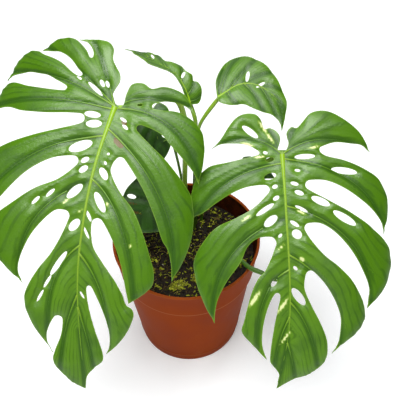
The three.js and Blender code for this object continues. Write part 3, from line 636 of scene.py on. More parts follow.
# %% The side leaf, drawn flat
BLADES["side"] = {
    "base": (44, 4, 203), "heading": 75, "pitch": 12, "droop": 14,
    "roll": 0, "twist": 0, "fold": 8, "arch": 0.012, "vein_lean": (60, 30),
    "midrib": [(0, 0), (0, 12), (0, 24)],
    "sides": [
        [
            (-2, -2), (-6, -3), (-9, 1), (-9, 8), (-7, 14), (-4, 19), tip(0, 24),
        ],
        [
            (2, -2), (6, -3), (9, 1), (9, 8), (7, 14), (4, 19), tip(0, 24),
        ],
    ],
    "holes": [],
    "veins": [
        [
            (0, (-4, -2), (-7, -1)), (3, (-6, 5), (-9, 9)), (9, (-4, 12), (-6, 16)),
        ],
        [
            (0, (4, -2), (7, -1)), (3, (6, 5), (9, 9)), (9, (4, 12), (6, 16)),
        ],
    ],
    "pale": [],
    "scars": [],
}
print("leaves drawn:", ", ".join(BLADES))

# %% [markdown]
# ## Bending a leaf into place
# A leaf has no simple formula, but it can be described as a sheet that turns steadily. From
# the stalk the midrib heads one way and droops a little more with each step. Across it the
# sheet starts with a fold upwards and curls down with distance, like a shallow saddle. The
# function below walks along the midrib in short steps and then out to the side, so any point
# of the flat drawing, raised by any height, gets its place in space.

# %% From the flat drawing to space
DROOP_STEPS = 12


def smooth_value(points, position):
    """The value at a position on a smooth curve through (value, position) points."""
    last = len(points) - 2
    k = max([i for i in range(last + 1) if points[i][1] <= position], default=0)
    pairs = (max(k - 1, 0), k + 1), (k, min(k + 2, last + 1))
    start, end = [
        (points[j][0] - points[i][0]) / (points[j][1] - points[i][1]) for i, j in pairs]
    span = points[k + 1][1] - points[k][1]
    t = (position - points[k][1]) / span
    if t < 0:
        return points[k][0] + start * t * span
    if t > 1:
        return points[k + 1][0] + end * (t - 1) * span
    blend = t * t * (3 - 2 * t)
    bend = t * (1 - t) * ((1 - t) * start - t * end) * span
    return points[k][0] * (1 - blend) + points[k + 1][0] * blend + bend


def blade_axes(blade, along):
    """Unit directions along the leaf, across it and out of its upper face."""
    share = along / blade["midrib"][-1][1]
    pitch = math.radians(blade["pitch"] + blade["droop"] * share)
    roll = math.radians(blade["roll"] + blade["twist"] * share)
    heading = math.radians(blade["heading"])
    flat = math.cos(pitch)
    ahead = Vector((flat * math.sin(heading), -flat * math.cos(heading), -math.sin(pitch)))
    level = Vector((math.cos(heading), math.sin(heading), 0))
    side = Matrix.Rotation(roll, 3, ahead) @ level
    return ahead, side, ahead.cross(side)


def blade_point(blade, across, along, height=0.0):
    """The place in space, in metres, of a point of the flat drawing."""
    point = Vector(blade["base"])
    for i in range(DROOP_STEPS):
        point += blade_axes(blade, along * (i + 0.5) / DROOP_STEPS)[0] * (along / DROOP_STEPS)
    rib = smooth_value(blade["midrib"], along)
    fold = math.radians(blade["fold"])
    tilt = fold - blade["arch"] * abs(across - rib)
    run = (math.sin(fold) - math.sin(tilt)) / blade["arch"]
    rise = (math.cos(tilt) - math.cos(fold)) / blade["arch"]
    sign = -1 if across < rib else 1
    ahead, side, out = blade_axes(blade, along)
    point += side * (rib + sign * run - sign * height * math.sin(tilt))
    point += out * (rise + height * math.cos(tilt))
    return point * MM


leaf_tip = blade_point(BLADES["left"], *BLADES["left"]["midrib"][-1])
print("left leaf tip, mm:", [round(v / MM) for v in leaf_tip])

# %% [markdown]
# ## Drawing the outline
# The listed points are joined by a centripetal Catmull-Rom curve, which passes through every
# point and never overshoots much. The curve starts afresh at each lobe's tip, so the tips stay
# sharp, and each slit ends in an arc. The rims of the holes are ovals that lie along the veins.

# %% A curve through the points
BAY_TURNS = (62, 31, 0, -31, -62)


def smooth_run(knots, step):
    """Points every step or so along a smooth curve through the knots."""
    knots = [Vector(knot) for knot in knots]
    ends = [knots[0] * 2 - knots[1], *knots, knots[-1] * 2 - knots[-2]]
    run = []
    for a, b, c, d in zip(ends, ends[1:], ends[2:], ends[3:]):
        gaps = (b - a).length, (c - b).length, (d - c).length
        before, here, after = [max(gap, 1e-4) ** 0.5 for gap in gaps]
        start = ((b - a) / before - (c - a) / (before + here) + (c - b) / here) * here
        end = ((c - b) / here - (d - b) / (here + after) + (d - c) / after) * here
        count = max(1, math.ceil((c - b).length / step))
        bulge = 3 * (c - b) - 2 * start - end
        twist = start + end - 2 * (c - b)
        run += [b + start * t + bulge * t ** 2 + twist * t ** 3
                for t in [i / count for i in range(count)]]
    return [*run, knots[-1]]


def bay_arc(entry, before, after):
    """Five points round the inner end of a slit."""
    centre, radius = Vector(entry[1:3]), entry[3]
    to_before = (Vector(before[-2:]) - centre).normalized()
    to_after = (Vector(after[-2:]) - centre).normalized()
    inward = -(to_before + to_after).normalized()
    across = Vector((-inward.y, inward.x))
    if across.dot(to_before) < 0:
        across.negate()
    turns = [math.radians(turn) for turn in BAY_TURNS]
    return [centre + (across * math.sin(t) + inward * math.cos(t)) * radius for t in turns]


def side_run(side, step):
    """One side of the outline, from the stalk to just before the leaf's tip."""
    stretches = [[]]
    for i, entry in enumerate(side):
        if entry[0] == "tip":
            stretches[-1].append(Vector(entry[1:]))
            stretches.append([Vector(entry[1:])])
        elif entry[0] == "bay":
            stretches[-1] += bay_arc(entry, side[i - 1], side[i + 1])
        else:
            stretches[-1].append(Vector(entry))
    return [point for knots in stretches[:-1] for point in smooth_run(knots, step)[:-1]]


# %% The outline and the holes as closed rings
def vein_direction(blade, across, along):
    """The way that the side veins run at a place on the flat drawing."""
    if along < 0:
        return Vector((across, along)).normalized()
    final, distance = blade["vein_lean"]
    lean = math.radians(final) * (1 - math.exp(-along / distance))
    midrib = blade["midrib"]
    slope = (smooth_value(midrib, along + 1) - smooth_value(midrib, along - 1)) / 2
    sign = -1 if across < smooth_value(midrib, along) else 1
    direction = Vector((sign * math.cos(lean), math.sin(lean)))
    return Matrix.Rotation(-math.atan(slope), 2) @ direction


def oval(blade, hole, steps=20):
    """A hole's rim: an oval with its length along the veins."""
    across, along, half_length, half_width = hole
    way = vein_direction(blade, across, along)
    over = Vector((-way.y, way.x))
    turns = [2 * math.pi * i / steps for i in range(steps)]
    centre, way, over = Vector((across, along)), way * half_length, over * half_width
    return [centre + way * math.cos(a) + over * math.sin(a) for a in turns]


def leaf_loops(blade, step):
    """The outline and the rims of the holes, each a closed ring of points."""
    left, right = [side_run(side, step) for side in blade["sides"]]
    leaf_tip = Vector(blade["sides"][0][-1][1:])
    return [[*left, leaf_tip, *reversed(right)], *[oval(blade, hole) for hole in blade["holes"]]]


print("left outline has", len(leaf_loops(BLADES["left"], 1)[0]), "points at 1 mm")

# %% [markdown]
# ## A sheet of even cells
# Filling the outline with triangles gives long thin ones that bend badly. Cutting the filled
# shape along a grid with `bisect_plane`, and then dissolving every edge that isn't on the
# grid or the outline, leaves a sheet of small squares with neat edges. Squares of about a
# millimetre and a half are fine enough to press veins into.

# %% Fill and cut
CELL = 1.6
OUTLINE_STEP = 0.8 * CELL


def on_grid(edge):
    """Whether an edge lies along one of the grid's lines."""
    start, end = [vert.co / CELL for vert in edge.verts]
    for axis in (0, 1):
        if abs(start[axis] - end[axis]) < 1e-3 and abs(start[axis] % 1 - 0.5) < 1e-3:
            return True
    return False


def flat_sheet(blade):
    """The flat leaf, in millimetres, as a sheet of small cells."""
    bm = bmesh.new()
    for loop in leaf_loops(blade, OUTLINE_STEP):
        ring = [bm.verts.new((*point, 0)) for point in loop]
        for pair in zip(ring, ring[1:] + ring[:1]):
            bm.edges.new(pair)
    bmesh.ops.triangle_fill(bm, use_beauty=False, edges=bm.edges[:], normal=(0, 0, -1))
    lines = []
    for axis in (0, 1):
        places = [vert.co[axis] for vert in bm.verts]
        first, last = math.floor(min(places) / CELL), math.ceil(max(places) / CELL)
        lines += [(axis, (k + 0.5) * CELL) for k in range(first, last)]
    for axis, place in lines:
        through = [0, 0, 0]
        facing = [0, 0, 0]
        through[axis] = place
        facing[axis] = 1
        geometry = bm.verts[:] + bm.edges[:] + bm.faces[:]
        bmesh.ops.bisect_plane(bm, geom=geometry, dist=1e-4, plane_co=through, plane_no=facing)
    loose = [edge for edge in bm.edges if len(edge.link_faces) == 2 and not on_grid(edge)]
    bmesh.ops.dissolve_edges(bm, edges=loose, use_verts=False)
    return bm


print("cells of", CELL, "mm")

# %% [markdown]
# ## Veins
# From the midrib one main vein runs out to the tip of each lobe, and finer veins run beside
# it. Each main vein is listed by where it leaves the midrib, a point that it bends towards
# and its end. Two measures follow from them for every point of the leaf: the distance to the
# nearest main vein, and a count that rises by one from each vein to the next, whose fractions
# place the finer veins between.


# %% Distance to the veins
FAR = 1e3
WIDEST_FIELD = 40
SPINE_POINTS = 40
SPINE_END = 30


def nearest(points, path):
    """Distance from each of many points to a chain of short segments."""
    start, step = path[:-1], np.diff(path, axis=0)
    gap = points[:, None] - start
    share = ((gap * step).sum(2) / (step ** 2).sum(1)).clip(0, 1)
    return np.linalg.norm(gap - share[..., None] * step, axis=2).min(1)


def vein_path(blade, vein, steps=14):
    """A main vein as points from the midrib to its end."""
    along, bend, end = vein
    start = np.array((smooth_value(blade["midrib"], along), along))
    bend, end = np.array(bend), np.array(end)
    share = np.linspace(0, 1, steps)[:, None]
    return (1 - share) ** 2 * start + 2 * share * (1 - share) * bend + share ** 2 * end


def vein_measures(blade, points, ribs):
    """For each point, its distance to the nearest main vein and the count of veins there."""
    distance = np.zeros(len(points))
    count = np.zeros(len(points))
    for sign, veins in zip((-1, 1), blade["veins"]):
        here = (np.sign(points[:, 0] - ribs) + (points[:, 0] == ribs)) == sign
        if not here.any():
            continue
        alongs = np.linspace(0, blade["midrib"][-1][1], SPINE_POINTS)
        spine = np.array([(smooth_value(blade["midrib"], a), a) for a in alongs])
        paths = [vein_path(blade, vein) for vein in veins] + [spine[SPINE_END:]]
        gaps = np.stack([nearest(points[here], path) for path in paths], 1)
        closest = np.argsort(gaps, 1)[:, 0]
        rows = np.arange(len(closest))
        last = len(paths) - 1
        below = gaps[rows, np.maximum(closest - 1, 0)] + FAR * (closest == 0)
        above = gaps[rows, np.minimum(closest + 1, last)] + FAR * (closest == last)
        way = np.where(above < below, 1, -1)
        other = np.minimum(np.minimum(above, below), WIDEST_FIELD)
        own = gaps[rows, closest]
        count[here] = closest + way * own / (own + other + 1e-6)
        distance[here] = own
    return distance, count


print("main veins on the left leaf:", sum(len(side) for side in BLADES["left"]["veins"]))


# %% Inside the leaf, and inside a spot on it
def inside(points, loops):
    """Whether each point is on the leaf: crossing its rings an odd number of times."""
    odd = np.zeros(len(points), bool)
    for ring in loops:
        start = np.array(ring)
        end = np.roll(start, -1, 0)
        x, y = points[:, :1], points[:, 1:]
        spans = (start[:, 1] > y) != (end[:, 1] > y)
        slope = (end[:, 0] - start[:, 0]) / (end[:, 1] - start[:, 1] + 1e-9)
        odd ^= (spans & (x < start[:, 0] + slope * (y - start[:, 1]))).sum(1) % 2 == 1
    return odd


def spot_measure(blade, points, spots):
    """How far inside a listed oval spot each point is, from 0 outside to 1 at its middle."""
    strength = np.zeros(len(points))
    for across, along, half_length, half_width in spots:
        way = np.array(vein_direction(blade, across, along))
        gap = points - (across, along)
        lengthwise = gap @ way / half_length
        sidewise = gap @ (-way[1], way[0]) / half_width
        strength = np.maximum(strength, 1 - lengthwise ** 2 - sidewise ** 2)
    return strength.clip(0, 1)


# %% [markdown]
# ## Relief
# The upper face of a monstera leaf is pressed in along its main veins and puffed up between
# them, its margins roll down, and a gentle wave runs through it. Adding these as heights
# along the leaf's own normal lets the soft light pick the lobes out, as it does on a real
# leaf. A small leaf has the same relief at a smaller size. The first six values below are
# heights in millimetres, apart from the number of fine veins in a field. The others say how
# far from a vein, the edge or the midrib each effect reaches, and how long a leaf has to be
# for the whole relief.

# %% Heights
MAIN_GROOVE = 0.9
PUFF = 1.9
FINE_GROOVE = 0.5
FINE_VEINS = 6
MARGIN_ROLL = 2.0
WAVE = 1.6
GROOVE_WIDTH = 1.8
PUFF_WIDTH = 8
FINE_FADE = 4
ROLL_WIDTH = 3.5
WAVE_LENGTH = 34
WAVE_FADE = 20
RIB_FADE = 5
FULL_SIZE = 150


def leaf_measures(blade, points, loops):
    """All measures of the given flat points, by name."""
    ribs = np.array([smooth_value(blade["midrib"], along) for along in points[:, 1]])
    vein, count = vein_measures(blade, points, ribs)
    rings = [np.array([*loop, loop[0]]) for loop in loops]
    edge = np.min([nearest(points, ring) for ring in rings], axis=0)
    return {
        "rib_mm": points[:, 0] - ribs, "vein_mm": vein, "vein_count": count, "edge_mm": edge,
        "pale": spot_measure(blade, points, blade["pale"]),
        "scar": spot_measure(blade, points, blade["scars"]),
    }


def relief(blade, points, measures):
    """Height of the upper face above the plain bent sheet."""
    size = min(1.0, blade["midrib"][-1][1] / FULL_SIZE + 0.15)
    from_rib = 1 - np.exp(-(measures["rib_mm"] / (RIB_FADE * size)) ** 2)
    vein, edge = measures["vein_mm"] / size, measures["edge_mm"] / size
    height = PUFF * (1 - np.exp(-(vein / PUFF_WIDTH) ** 2))
    height -= MAIN_GROOVE * np.exp(-(vein / GROOVE_WIDTH) ** 2)
    fine = 0.5 + 0.5 * np.cos(2 * math.pi * FINE_VEINS * measures["vein_count"])
    height -= FINE_GROOVE * fine * (1 - np.exp(-(vein / FINE_FADE) ** 2))
    height -= MARGIN_ROLL * np.exp(-edge / ROLL_WIDTH)
    wave = [noise.noise(Vector((*point, 7.0)) / WAVE_LENGTH) for point in points]
    height += WAVE * np.array(wave) * (1 - np.exp(-edge / WAVE_FADE))
    return height * from_rib * size


print("deepest groove", MAIN_GROOVE, "mm, highest puff", PUFF, "mm")

# %% [markdown]
# ## Leaf skin
# A monstera leaf is leathery, with a thin wax: satin, roughness near 0.4, refractive index
# 1.45. It is darkest in the creases of its veins, where the shade is painted into the colour,
# and near the slits. It is a cooler green beside the midrib and a yellower one out in the
# lobes and along the very edge; the lobes are also painted darker, partly as the shade of
# lobes that turn down from the light. The right leaf has a few cream streaks where the green
# is missing. The measures stored in the leaf drive all of this, so the colour follows the
# veins. The underside is paler and more matt, and the small leaves that sit in the shade of
# the others get a darker, plainer copy of the skin, which paints that shade.


# %% Material: waxy leaf skin
FINEST_VEINS = 5 * FINE_VEINS
CLOUD_SIZE = 22.2
WANDER_SIZE = 14.3
SKIN_CELL = 2.38


def leaf_material(name, light, dark, far, roughness, veined=0.6):
    """Leaf skin from its lit green, the green of its creases, where shade is painted, and the green
    of its lobes, which is partly painted shade.
    """
    material, tree, shader = new_material(name, roughness, Specular_IOR_Level=0.5)
    place = add(tree, "TexCoord", out="UV")
    rib, vein, count, edge, pale, scar = [
        add(tree, "Attribute", out="Fac", attribute_name=key)
        for key in ("rib_mm", "vein_mm", "vein_count", "edge_mm", "pale", "scar")]
    cloud, bent, ragged = [
        add(tree, "TexNoise", {"Vector": place, "Scale": scale_for(size), "Detail": detail})
        for size, detail in ((CLOUD_SIZE, 3), (WANDER_SIZE, 2), (SKIN_CELL, 3))]

    # The green changes from the midrib to the lobes, yellower and darker out in the lobes, the
    # darkness partly painted shade of lobes that turn down from the light, with darker clouds.
    rib = add(tree, "Math", {0: rib}, operation="ABSOLUTE")
    colour = paint(tree, linear(light), far, rib, 12, 62)
    colour = paint(tree, colour, dark, cloud, 0.45, 0.75, 0, 0.5)

    # Fine veins are painted as dark lines, the shade in their grooves; they wander a little, and
    # come and go.
    wave = add(tree, "Math", {0: bent, 1: 0.14, 2: count}, operation="MULTIPLY_ADD")
    wave = add(tree, "Math", {0: wave, 1: 2 * math.pi * FINE_VEINS}, operation="MULTIPLY")
    wave = add(tree, "Math", {0: wave}, operation="COSINE")
    line = add(tree, "MapRange", {0: wave, 1: 0.3, 2: 1.0}, **SMOOTH)
    limits = {1: 0.35, 2: 0.6, 3: 0.2 * veined, 4: 0.8 * veined}
    strength = add(tree, "MapRange", {0: bent, **limits}, **SMOOTH)
    cover = add(tree, "Math", {0: line, 1: strength}, operation="MULTIPLY")
    colour = add(tree, "Mix", {0: cover, 6: colour, 7: linear(dark)}, **BLEND_COLOURS)

    # The creases of the main veins are painted dark, as shade, and the very edge is yellow-green.
    colour = paint(tree, colour, dark, vein, 0.2, 3.0, 0.85, 0.0)
    colour = paint(tree, colour, "#6f9428", edge, 0.1, 0.8, 0.6, 0)

    # Cream streaks and brown scars have ragged edges.
    pale = add(tree, "Math", {0: ragged, 1: 0.5, 2: pale}, operation="MULTIPLY_ADD")
    colour = paint(tree, colour, "#8fae45", pale, 0.3, 0.85, 0, 0.75)
    colour = paint(tree, colour, "#d3d99c", pale, 0.72, 1.0)
    scar = add(tree, "Math", {0: ragged, 1: 0.4, 2: scar}, operation="MULTIPLY_ADD")
    colour = paint(tree, colour, "#5a4800", scar, 0.4, 0.6)

    # The finest veins and the cells of the skin are felt, not seen.
    finest = add(tree, "Math", {0: count, 1: 2 * math.pi * FINEST_VEINS}, operation="MULTIPLY")
    finest = add(tree, "Math", {0: finest}, operation="COSINE")
    cells = {"Vector": place, "Scale": scale_for(SKIN_CELL)}
    cells = add(tree, "TexVoronoi", cells, "Distance", feature="DISTANCE_TO_EDGE")
    cells = add(tree, "MapRange", {0: cells, 1: 0, 2: 0.25}, **SMOOTH)
    skin = add(tree, "Math", {0: finest, 1: 0.3, 2: cells}, operation="MULTIPLY_ADD")
    coat(tree, shader, colour, skin, 0.18, 0.2)
    limits = {1: 0.3, 2: 0.7, 3: roughness - 0.05, 4: roughness + 0.08}
    gloss = add(tree, "MapRange", {0: cloud, **limits}, **SMOOTH)
    tree.links.new(gloss, shader.inputs["Roughness"])
    return material


upper_skin = leaf_material("waxy_leaf_upper", "#507a14", "#214803", "#426d00", 0.39)
# Painted shade: the small leaves under the others get a darker, plainer copy of the skin.
shaded_skin = leaf_material("waxy_leaf_in_shade", "#2f5a0c", "#1c3d05", "#2f5c08", 0.45, 0.25)
under_skin = leaf_material("matt_leaf_underside", "#6f9148", "#4f752b", "#6b8d3e", 0.6)

# %% [markdown]
# ## Stalk and rib skin
# Stalks and ribs are smooth and juicier than the blade: yellow-green where they are thick and
# young, deeper green lower down. Fine streaks run along them. A stored value from 0, deep
# green, to 1, yellow-green, colours each place.

# %% Material: stalk and rib skin
STREAK_STRETCH = 0.08

stalk_skin, tree, shader = new_material("stalk_skin", 0.38)
place = add(tree, "TexCoord", out="Object")
young = add(tree, "Attribute", out="Fac", attribute_name="young")
greens = add(tree, "ValToRGB", {0: young}, stops=[
    (0.0, "#26500c"), (0.45, "#567f17"), (0.8, "#7f9f2c"), (1.0, "#86ad14")])
drawn_out = add(tree, "Mapping", {0: place, 3: (1, 1, STREAK_STRETCH)})
streak = add(tree, "TexNoise", {"Vector": drawn_out, "Scale": scale_for(1.11), "Detail": 3})
colour = paint(tree, greens, "#40700f", streak, 0.5, 0.75, 0, 0.35)
coat(tree, shader, colour, streak, 0.25, 0.2)

# %% [markdown]
# ## Sweeping a tube
# Ribs, stalks and roots are round and taper. Each starts as a filled circle at one end, and
# the cap is extruded again and again: each new cap is moved to the next point of the path,
# turned to face along it and scaled to the radius there. The last cap closes the tube.


# %% Sweep
def sweep(bm, path, radii, sides=10, young=0.5):
    """Adds a closed round tube along a path. young is one value, or one for each point."""
    layer = bm.verts.layers.float.get("young") or bm.verts.layers.float.new("young")
    values = young if hasattr(young, "__len__") else [young] * len(path)
    ways = [(b - a).normalized() for a, b in zip(path, path[1:])]
    ways = [ways[0], *[(a + b).normalized() for a, b in zip(ways, ways[1:])], ways[-1]]
    turn = ways[0].to_track_quat("Z", "Y")
    matrix = Matrix.Translation(path[0]) @ turn.to_matrix().to_4x4()
    made = bmesh.ops.create_circle(
        bm, cap_ends=True, segments=sides, radius=radii[0], matrix=matrix)
    ring = made["verts"]
    cap = ring[0].link_faces[0]
    for vert in ring:
        vert[layer] = values[0]
    for i in range(1, len(path)):
        made = bmesh.ops.extrude_face_region(bm, geom=[cap])["geom"]
        cap = next(item for item in made if isinstance(item, bmesh.types.BMFace))
        ring = [item for item in made if isinstance(item, bmesh.types.BMVert)]
        bend = ways[i - 1].rotation_difference(ways[i]).to_matrix().to_4x4()
        size = Matrix.Scale(radii[i] / radii[i - 1], 4)
        home = Matrix.Translation(-path[i - 1])
        move = Matrix.Translation(path[i]) @ bend @ size @ home
        bmesh.ops.transform(bm, matrix=move, verts=ring)
        for vert in ring:
            vert[layer] = values[i]


# %% [markdown]
# ## The leaves
# Each leaf is now made in the same way: cut the flat sheet, measure it, raise the relief,
# bend it into place and give it a thickness of half a millimetre with `solidify`. The two
# faces of the leaf get their own skins. The midrib and the main veins are separate tapering
# tubes, sunk into the sheet so that they stand out clearly below and only a little above. A
# vein that meets a hole or a slit stops at its edge.

# %% Build the leaves
LEAF_THICKNESS = 0.55
SHADED = ("low", "inner", "side")


def build_leaf(name, blade):
    """The blade of one leaf as a finished piece."""
    bm = flat_sheet(blade)
    bm.verts.ensure_lookup_table()
    points = np.array([vert.co[:2] for vert in bm.verts])
    measures = leaf_measures(blade, points, leaf_loops(blade, OUTLINE_STEP))
    heights = relief(blade, points, measures)
    for key, values in measures.items():
        layer = bm.verts.layers.float.new(key)
        for vert, value in zip(bm.verts, values):
            vert[layer] = value
    uv = bm.loops.layers.uv.new("flat")
    for face in bm.faces:
        for loop in face.loops:
            loop[uv].uv = loop.vert.co.xy * MM
    for vert, (across, along), height in zip(bm.verts, points, heights):
        vert.co = blade_point(blade, across, along, height + LEAF_THICKNESS / 2)
    middle = max(bm.faces, key=lambda face: face.calc_area())
    bm.normal_update()
    flat_middle = sum((loop[uv].uv for loop in middle.loops), Vector((0, 0))) / len(middle.loops)
    if middle.normal.dot(blade_axes(blade, flat_middle.y / MM)[2]) < 0:
        bmesh.ops.reverse_faces(bm, faces=bm.faces[:])
    upper = set(bm.faces)
    bmesh.ops.solidify(bm, geom=bm.faces[:], thickness=LEAF_THICKNESS * MM)
    for face in bm.faces:
        face.material_index = 0 if face in upper else 1
    skin = shaded_skin if name in SHADED else upper_skin
    return finish_piece(
        bm, "leaf_" + name, [skin, under_skin], ["blade_" + name], 60)


for name, blade in BLADES.items():
    build_leaf(name, blade)

# %% Build the ribs
RIB_RADII = {
    "left": 2.3, "right": 2.0, "rolled": 0.9, "heart": 1.0, "inner": 0.8, "low": 0.9, "side": 0.6}
RIB_STEPS = 40
RIB_END = 0.97
VEIN_STEPS = 22
VEIN_LIFT = 0.35


def build_midrib(bm, blade, thick):
    """Adds the midrib, which tapers quickly at first and then evenly."""
    length = blade["midrib"][-1][1]
    shares = np.linspace(0, RIB_END, RIB_STEPS)
    flat = [(smooth_value(blade["midrib"], length * s), length * s) for s in shares]
    radii = thick * (1 - shares) ** 0.75 * (0.55 + 0.45 * np.exp(-shares * 14)) + 0.22
    route = [
        blade_point(blade, *place, -0.45 * radius + 0.1) for place, radius in zip(flat, radii)]
    sweep(bm, route, list(radii * MM), 12, list(1 - 0.55 * shares))


def build_ribs(name, blade):
    """The midrib and main veins of one leaf."""
    bm = bmesh.new()
    build_midrib(bm, blade, RIB_RADII[name])
    loops = leaf_loops(blade, 3.0)
    lift = 0 if name in SHADED else VEIN_LIFT
    shares = np.arange(VEIN_STEPS) / VEIN_STEPS
    slim = 0.3 * RIB_RADII[name] * (1 - shares) ** 1.3 + 0.1
    young = 0.8 - 0.75 * shares ** 0.5
    for vein in blade["veins"][0] + blade["veins"][1]:
        flat = vein_path(blade, vein, VEIN_STEPS + 2)[:-2]
        rise = relief(blade, flat, leaf_measures(blade, flat, loops)) + lift - 0.3 * slim
        kept = inside(flat, loops)
        kept[0] = True
        for run in np.split(np.arange(VEIN_STEPS), np.nonzero(~kept)[0]):
            run = [i for i in run if kept[i]]
            if len(run) >= 3:
                places = [blade_point(blade, *flat[i], rise[i]) for i in run]
                sweep(bm, places, list(slim[run] * MM), 8, list(young[run]))
    return finish_piece(bm, "ribs_" + name, [stalk_skin], (), 60)


for name, blade in BLADES.items():
    build_ribs(name, blade)

# %% [markdown]
# ## Stalks
# Each leaf stands on its own stalk. A monstera stalk is thickest where it clasps the stem,
# slims down on its way up, and swells again into a knee just below the blade, which turns the
# leaf to the light. Each route starts in the soil and ends under the blade's base, where the
# stalk's flesh runs on into the midrib. The left stalk is the palest of them.

# %% Build the stalks
SOIL_EDGE = 105
SOIL_MOUND = 4
SOIL_RADIUS = inner_wall(SOIL_EDGE) - 0.3
STALKS = {
    "left": (2.4, [
        (-1.5, 25, 104), (-1.4, 25, 112), (-1.3, 25, 150), (0.5, 25, 200), (0.5, 24, 232),
        (-4, 21.5, 248), (-12, 15.5, 255), (-22, 7.5, 257), (-32, 0.5, 258)]),
    "right": (2.3, [
        (5, 22, 104), (5, 22, 112), (7, 21, 130), (13, 8, 168), (33, -5, 197), (52, -11, 217)]),
    "rolled": (1.6, [(6, 33, 104), (6, 33, 112), (6.5, 32, 150), (8, 30, 200), (8.5, 30, 222)]),
    "heart": (1.5, [
        (7, 27.5, 104), (7, 27.5, 112), (8, 25, 150), (9.5, 23.5, 205), (12, 24, 224)]),
    "inner": (1.3, [(-1, 31.5, 104), (-1, 31.5, 112), (-3, 33, 150), (-12, 36, 205)]),
    "low": (1.4, [(-8, 25, 104), (-8, 25, 112), (-8, 25, 130), (-7, 20, 156)]),
    "side": (1.3, [(12, 31, 104), (12, 31, 112), (13, 30, 140), (20, 22, 180)]),
}
KNEE = Vector((0, 3.6, -4.8))
KNEE_SIZE = {"left": 0.9, "right": 1.6}
YOUNG = {"left": 0.8}


def soil_height(radius):
    """Height of the mounded soil at a distance from the axis."""
    return SOIL_EDGE + SOIL_MOUND * (1 - (radius / inner_wall(SOIL_EDGE)) ** 2)


def build_stalk(name, blade):
    """One stalk, from just inside the soil to the base of its blade."""
    radius, route = STALKS[name]
    knee = Vector(blade["base"]) + KNEE * KNEE_SIZE.get(name, 0.8)
    joint = blade_point(blade, 0, 0.5, -0.5 * RIB_RADII[name]) / MM
    path = smooth_run([*route, knee, joint], 3)
    steps = np.cumsum([0, *[(b - a).length for a, b in zip(path, path[1:])]])
    share, left = steps / steps[-1], steps[-1] - steps
    radii = radius * (0.86 + 0.3 * np.exp(-steps / 14) + 0.16 * np.exp(-((left - 12) / 9) ** 2))
    radii = radii * (1 - 0.12 * np.exp(-left / 2.5))
    young = YOUNG.get(name, 0.42) + 0.3 * share ** 2 + 0.25 * np.exp(-left / 10)
    bm = bmesh.new()
    sweep(bm, [point * MM for point in path], list(radii * MM), 20, list(young))
    return finish_piece(bm, "leafstalk_" + name, [stalk_skin], ["stalk_" + name])


for name, blade in BLADES.items():
    build_stalk(name, blade)

# %% [markdown]
# ## Stem and aerial root
# The stalks clasp a short green-brown stem, ringed where old leaves fell. One cord-like aerial
# root has grown out over the pot's rim: monsteras in a shop often have one or two.

# %% Material: ringed stem
bark, tree, shader = new_material("young_stem_bark", 0.7)
place = add(tree, "TexCoord", out="Object")
spots = add(tree, "TexNoise", {"Vector": place, "Scale": scale_for(3.85), "Detail": 5})
colour = paint(tree, linear("#55702a"), "#6b5a30", spots, 0.38, 0.66)
coat(tree, shader, colour, spots, 0.5, 0.5)

# %% Build the stem and the root
STEM = [(-5, 37, 103), (-5, 37, 116), (-4, 36, 124), (-2, 38, 131)]
STEM_RADIUS = 4
STEM_RINGS = (6.5, 15, 22)
ROOT = [
    (29, -13, 104), (30, -14, 109), (33, -16, 118), (41, -26, 130), (50, -36, 131.5),
    (60, -41, 131), (70, -45, 127)]
ROOT_RADIUS = 1.9

path = smooth_run(STEM, 0.8)
steps = np.cumsum([0, *[(b - a).length for a, b in zip(path, path[1:])]])
ring = sum(np.exp(-((steps - at) / 0.9) ** 2) for at in STEM_RINGS)
radii = STEM_RADIUS * (1 + 0.12 * ring - 0.75 * np.exp(-(steps[-1] - steps) / 1.5))
bm = bmesh.new()
sweep(bm, [point * MM for point in path], list(radii * MM), 28)
finish_piece(bm, "short_stem", [bark], ["main_stem"])

path = smooth_run(ROOT, 1.5)
share = np.linspace(0, 1, len(path))
radii = ROOT_RADIUS * (0.92 + 0.1 * np.sin(share * 19) * share + 0.1 * (1 - share))
radii[-4:] *= np.array([0.98, 0.9, 0.7, 0.35])
bm = bmesh.new()
sweep(bm, [point * MM for point in path], list(radii * MM), 18, list(0.12 + 0.25 * share))
finish_piece(bm, "cord_root", [stalk_skin], ["aerial_root"])

# %% [markdown]
# ## Potting mix
# The pot is filled with dark peat, heaped a little in the middle. Peat is a mass of crumbs of
# very different sizes, with shreds of bark and fibre, so a smooth disc would never look right:
# the surface itself is roughened, and hundreds of loose crumbs, bark chips and fibres are
# strewn over it. Moss has started to grow: yellow-green tufts and scraps lie among the crumbs.

# %% Material: damp peat
peat, tree, shader = new_material("damp_peat", 0.85)
place = add(tree, "TexCoord", out="Object")
grain = add(tree, "TexNoise", {
    "Vector": place, "Scale": scale_for(2.38), "Detail": 6, "Roughness": 0.65})
browns = add(tree, "ValToRGB", {0: grain}, stops=[
    (0.32, "#0b0702"), (0.5, "#1c1206"), (0.62, "#33230c"), (0.74, "#6a5222")])
coat(tree, shader, browns, grain, 0.7, 0.8)

# %% Build the peat
SOIL_RINGS = 60
SOIL_STEPS = 180


def crumble(x, y):
    """Height of the rough peat surface, in millimetres, at a place."""
    radius = math.hypot(x, y)
    rough = 1.5 * noise.noise(Vector((x, y, 3)) / 9) + 1.1 * noise.noise(Vector((x, y, 8)) / 3.2)
    return soil_height(radius) + rough * min(1, (SOIL_RADIUS - radius) / 3)


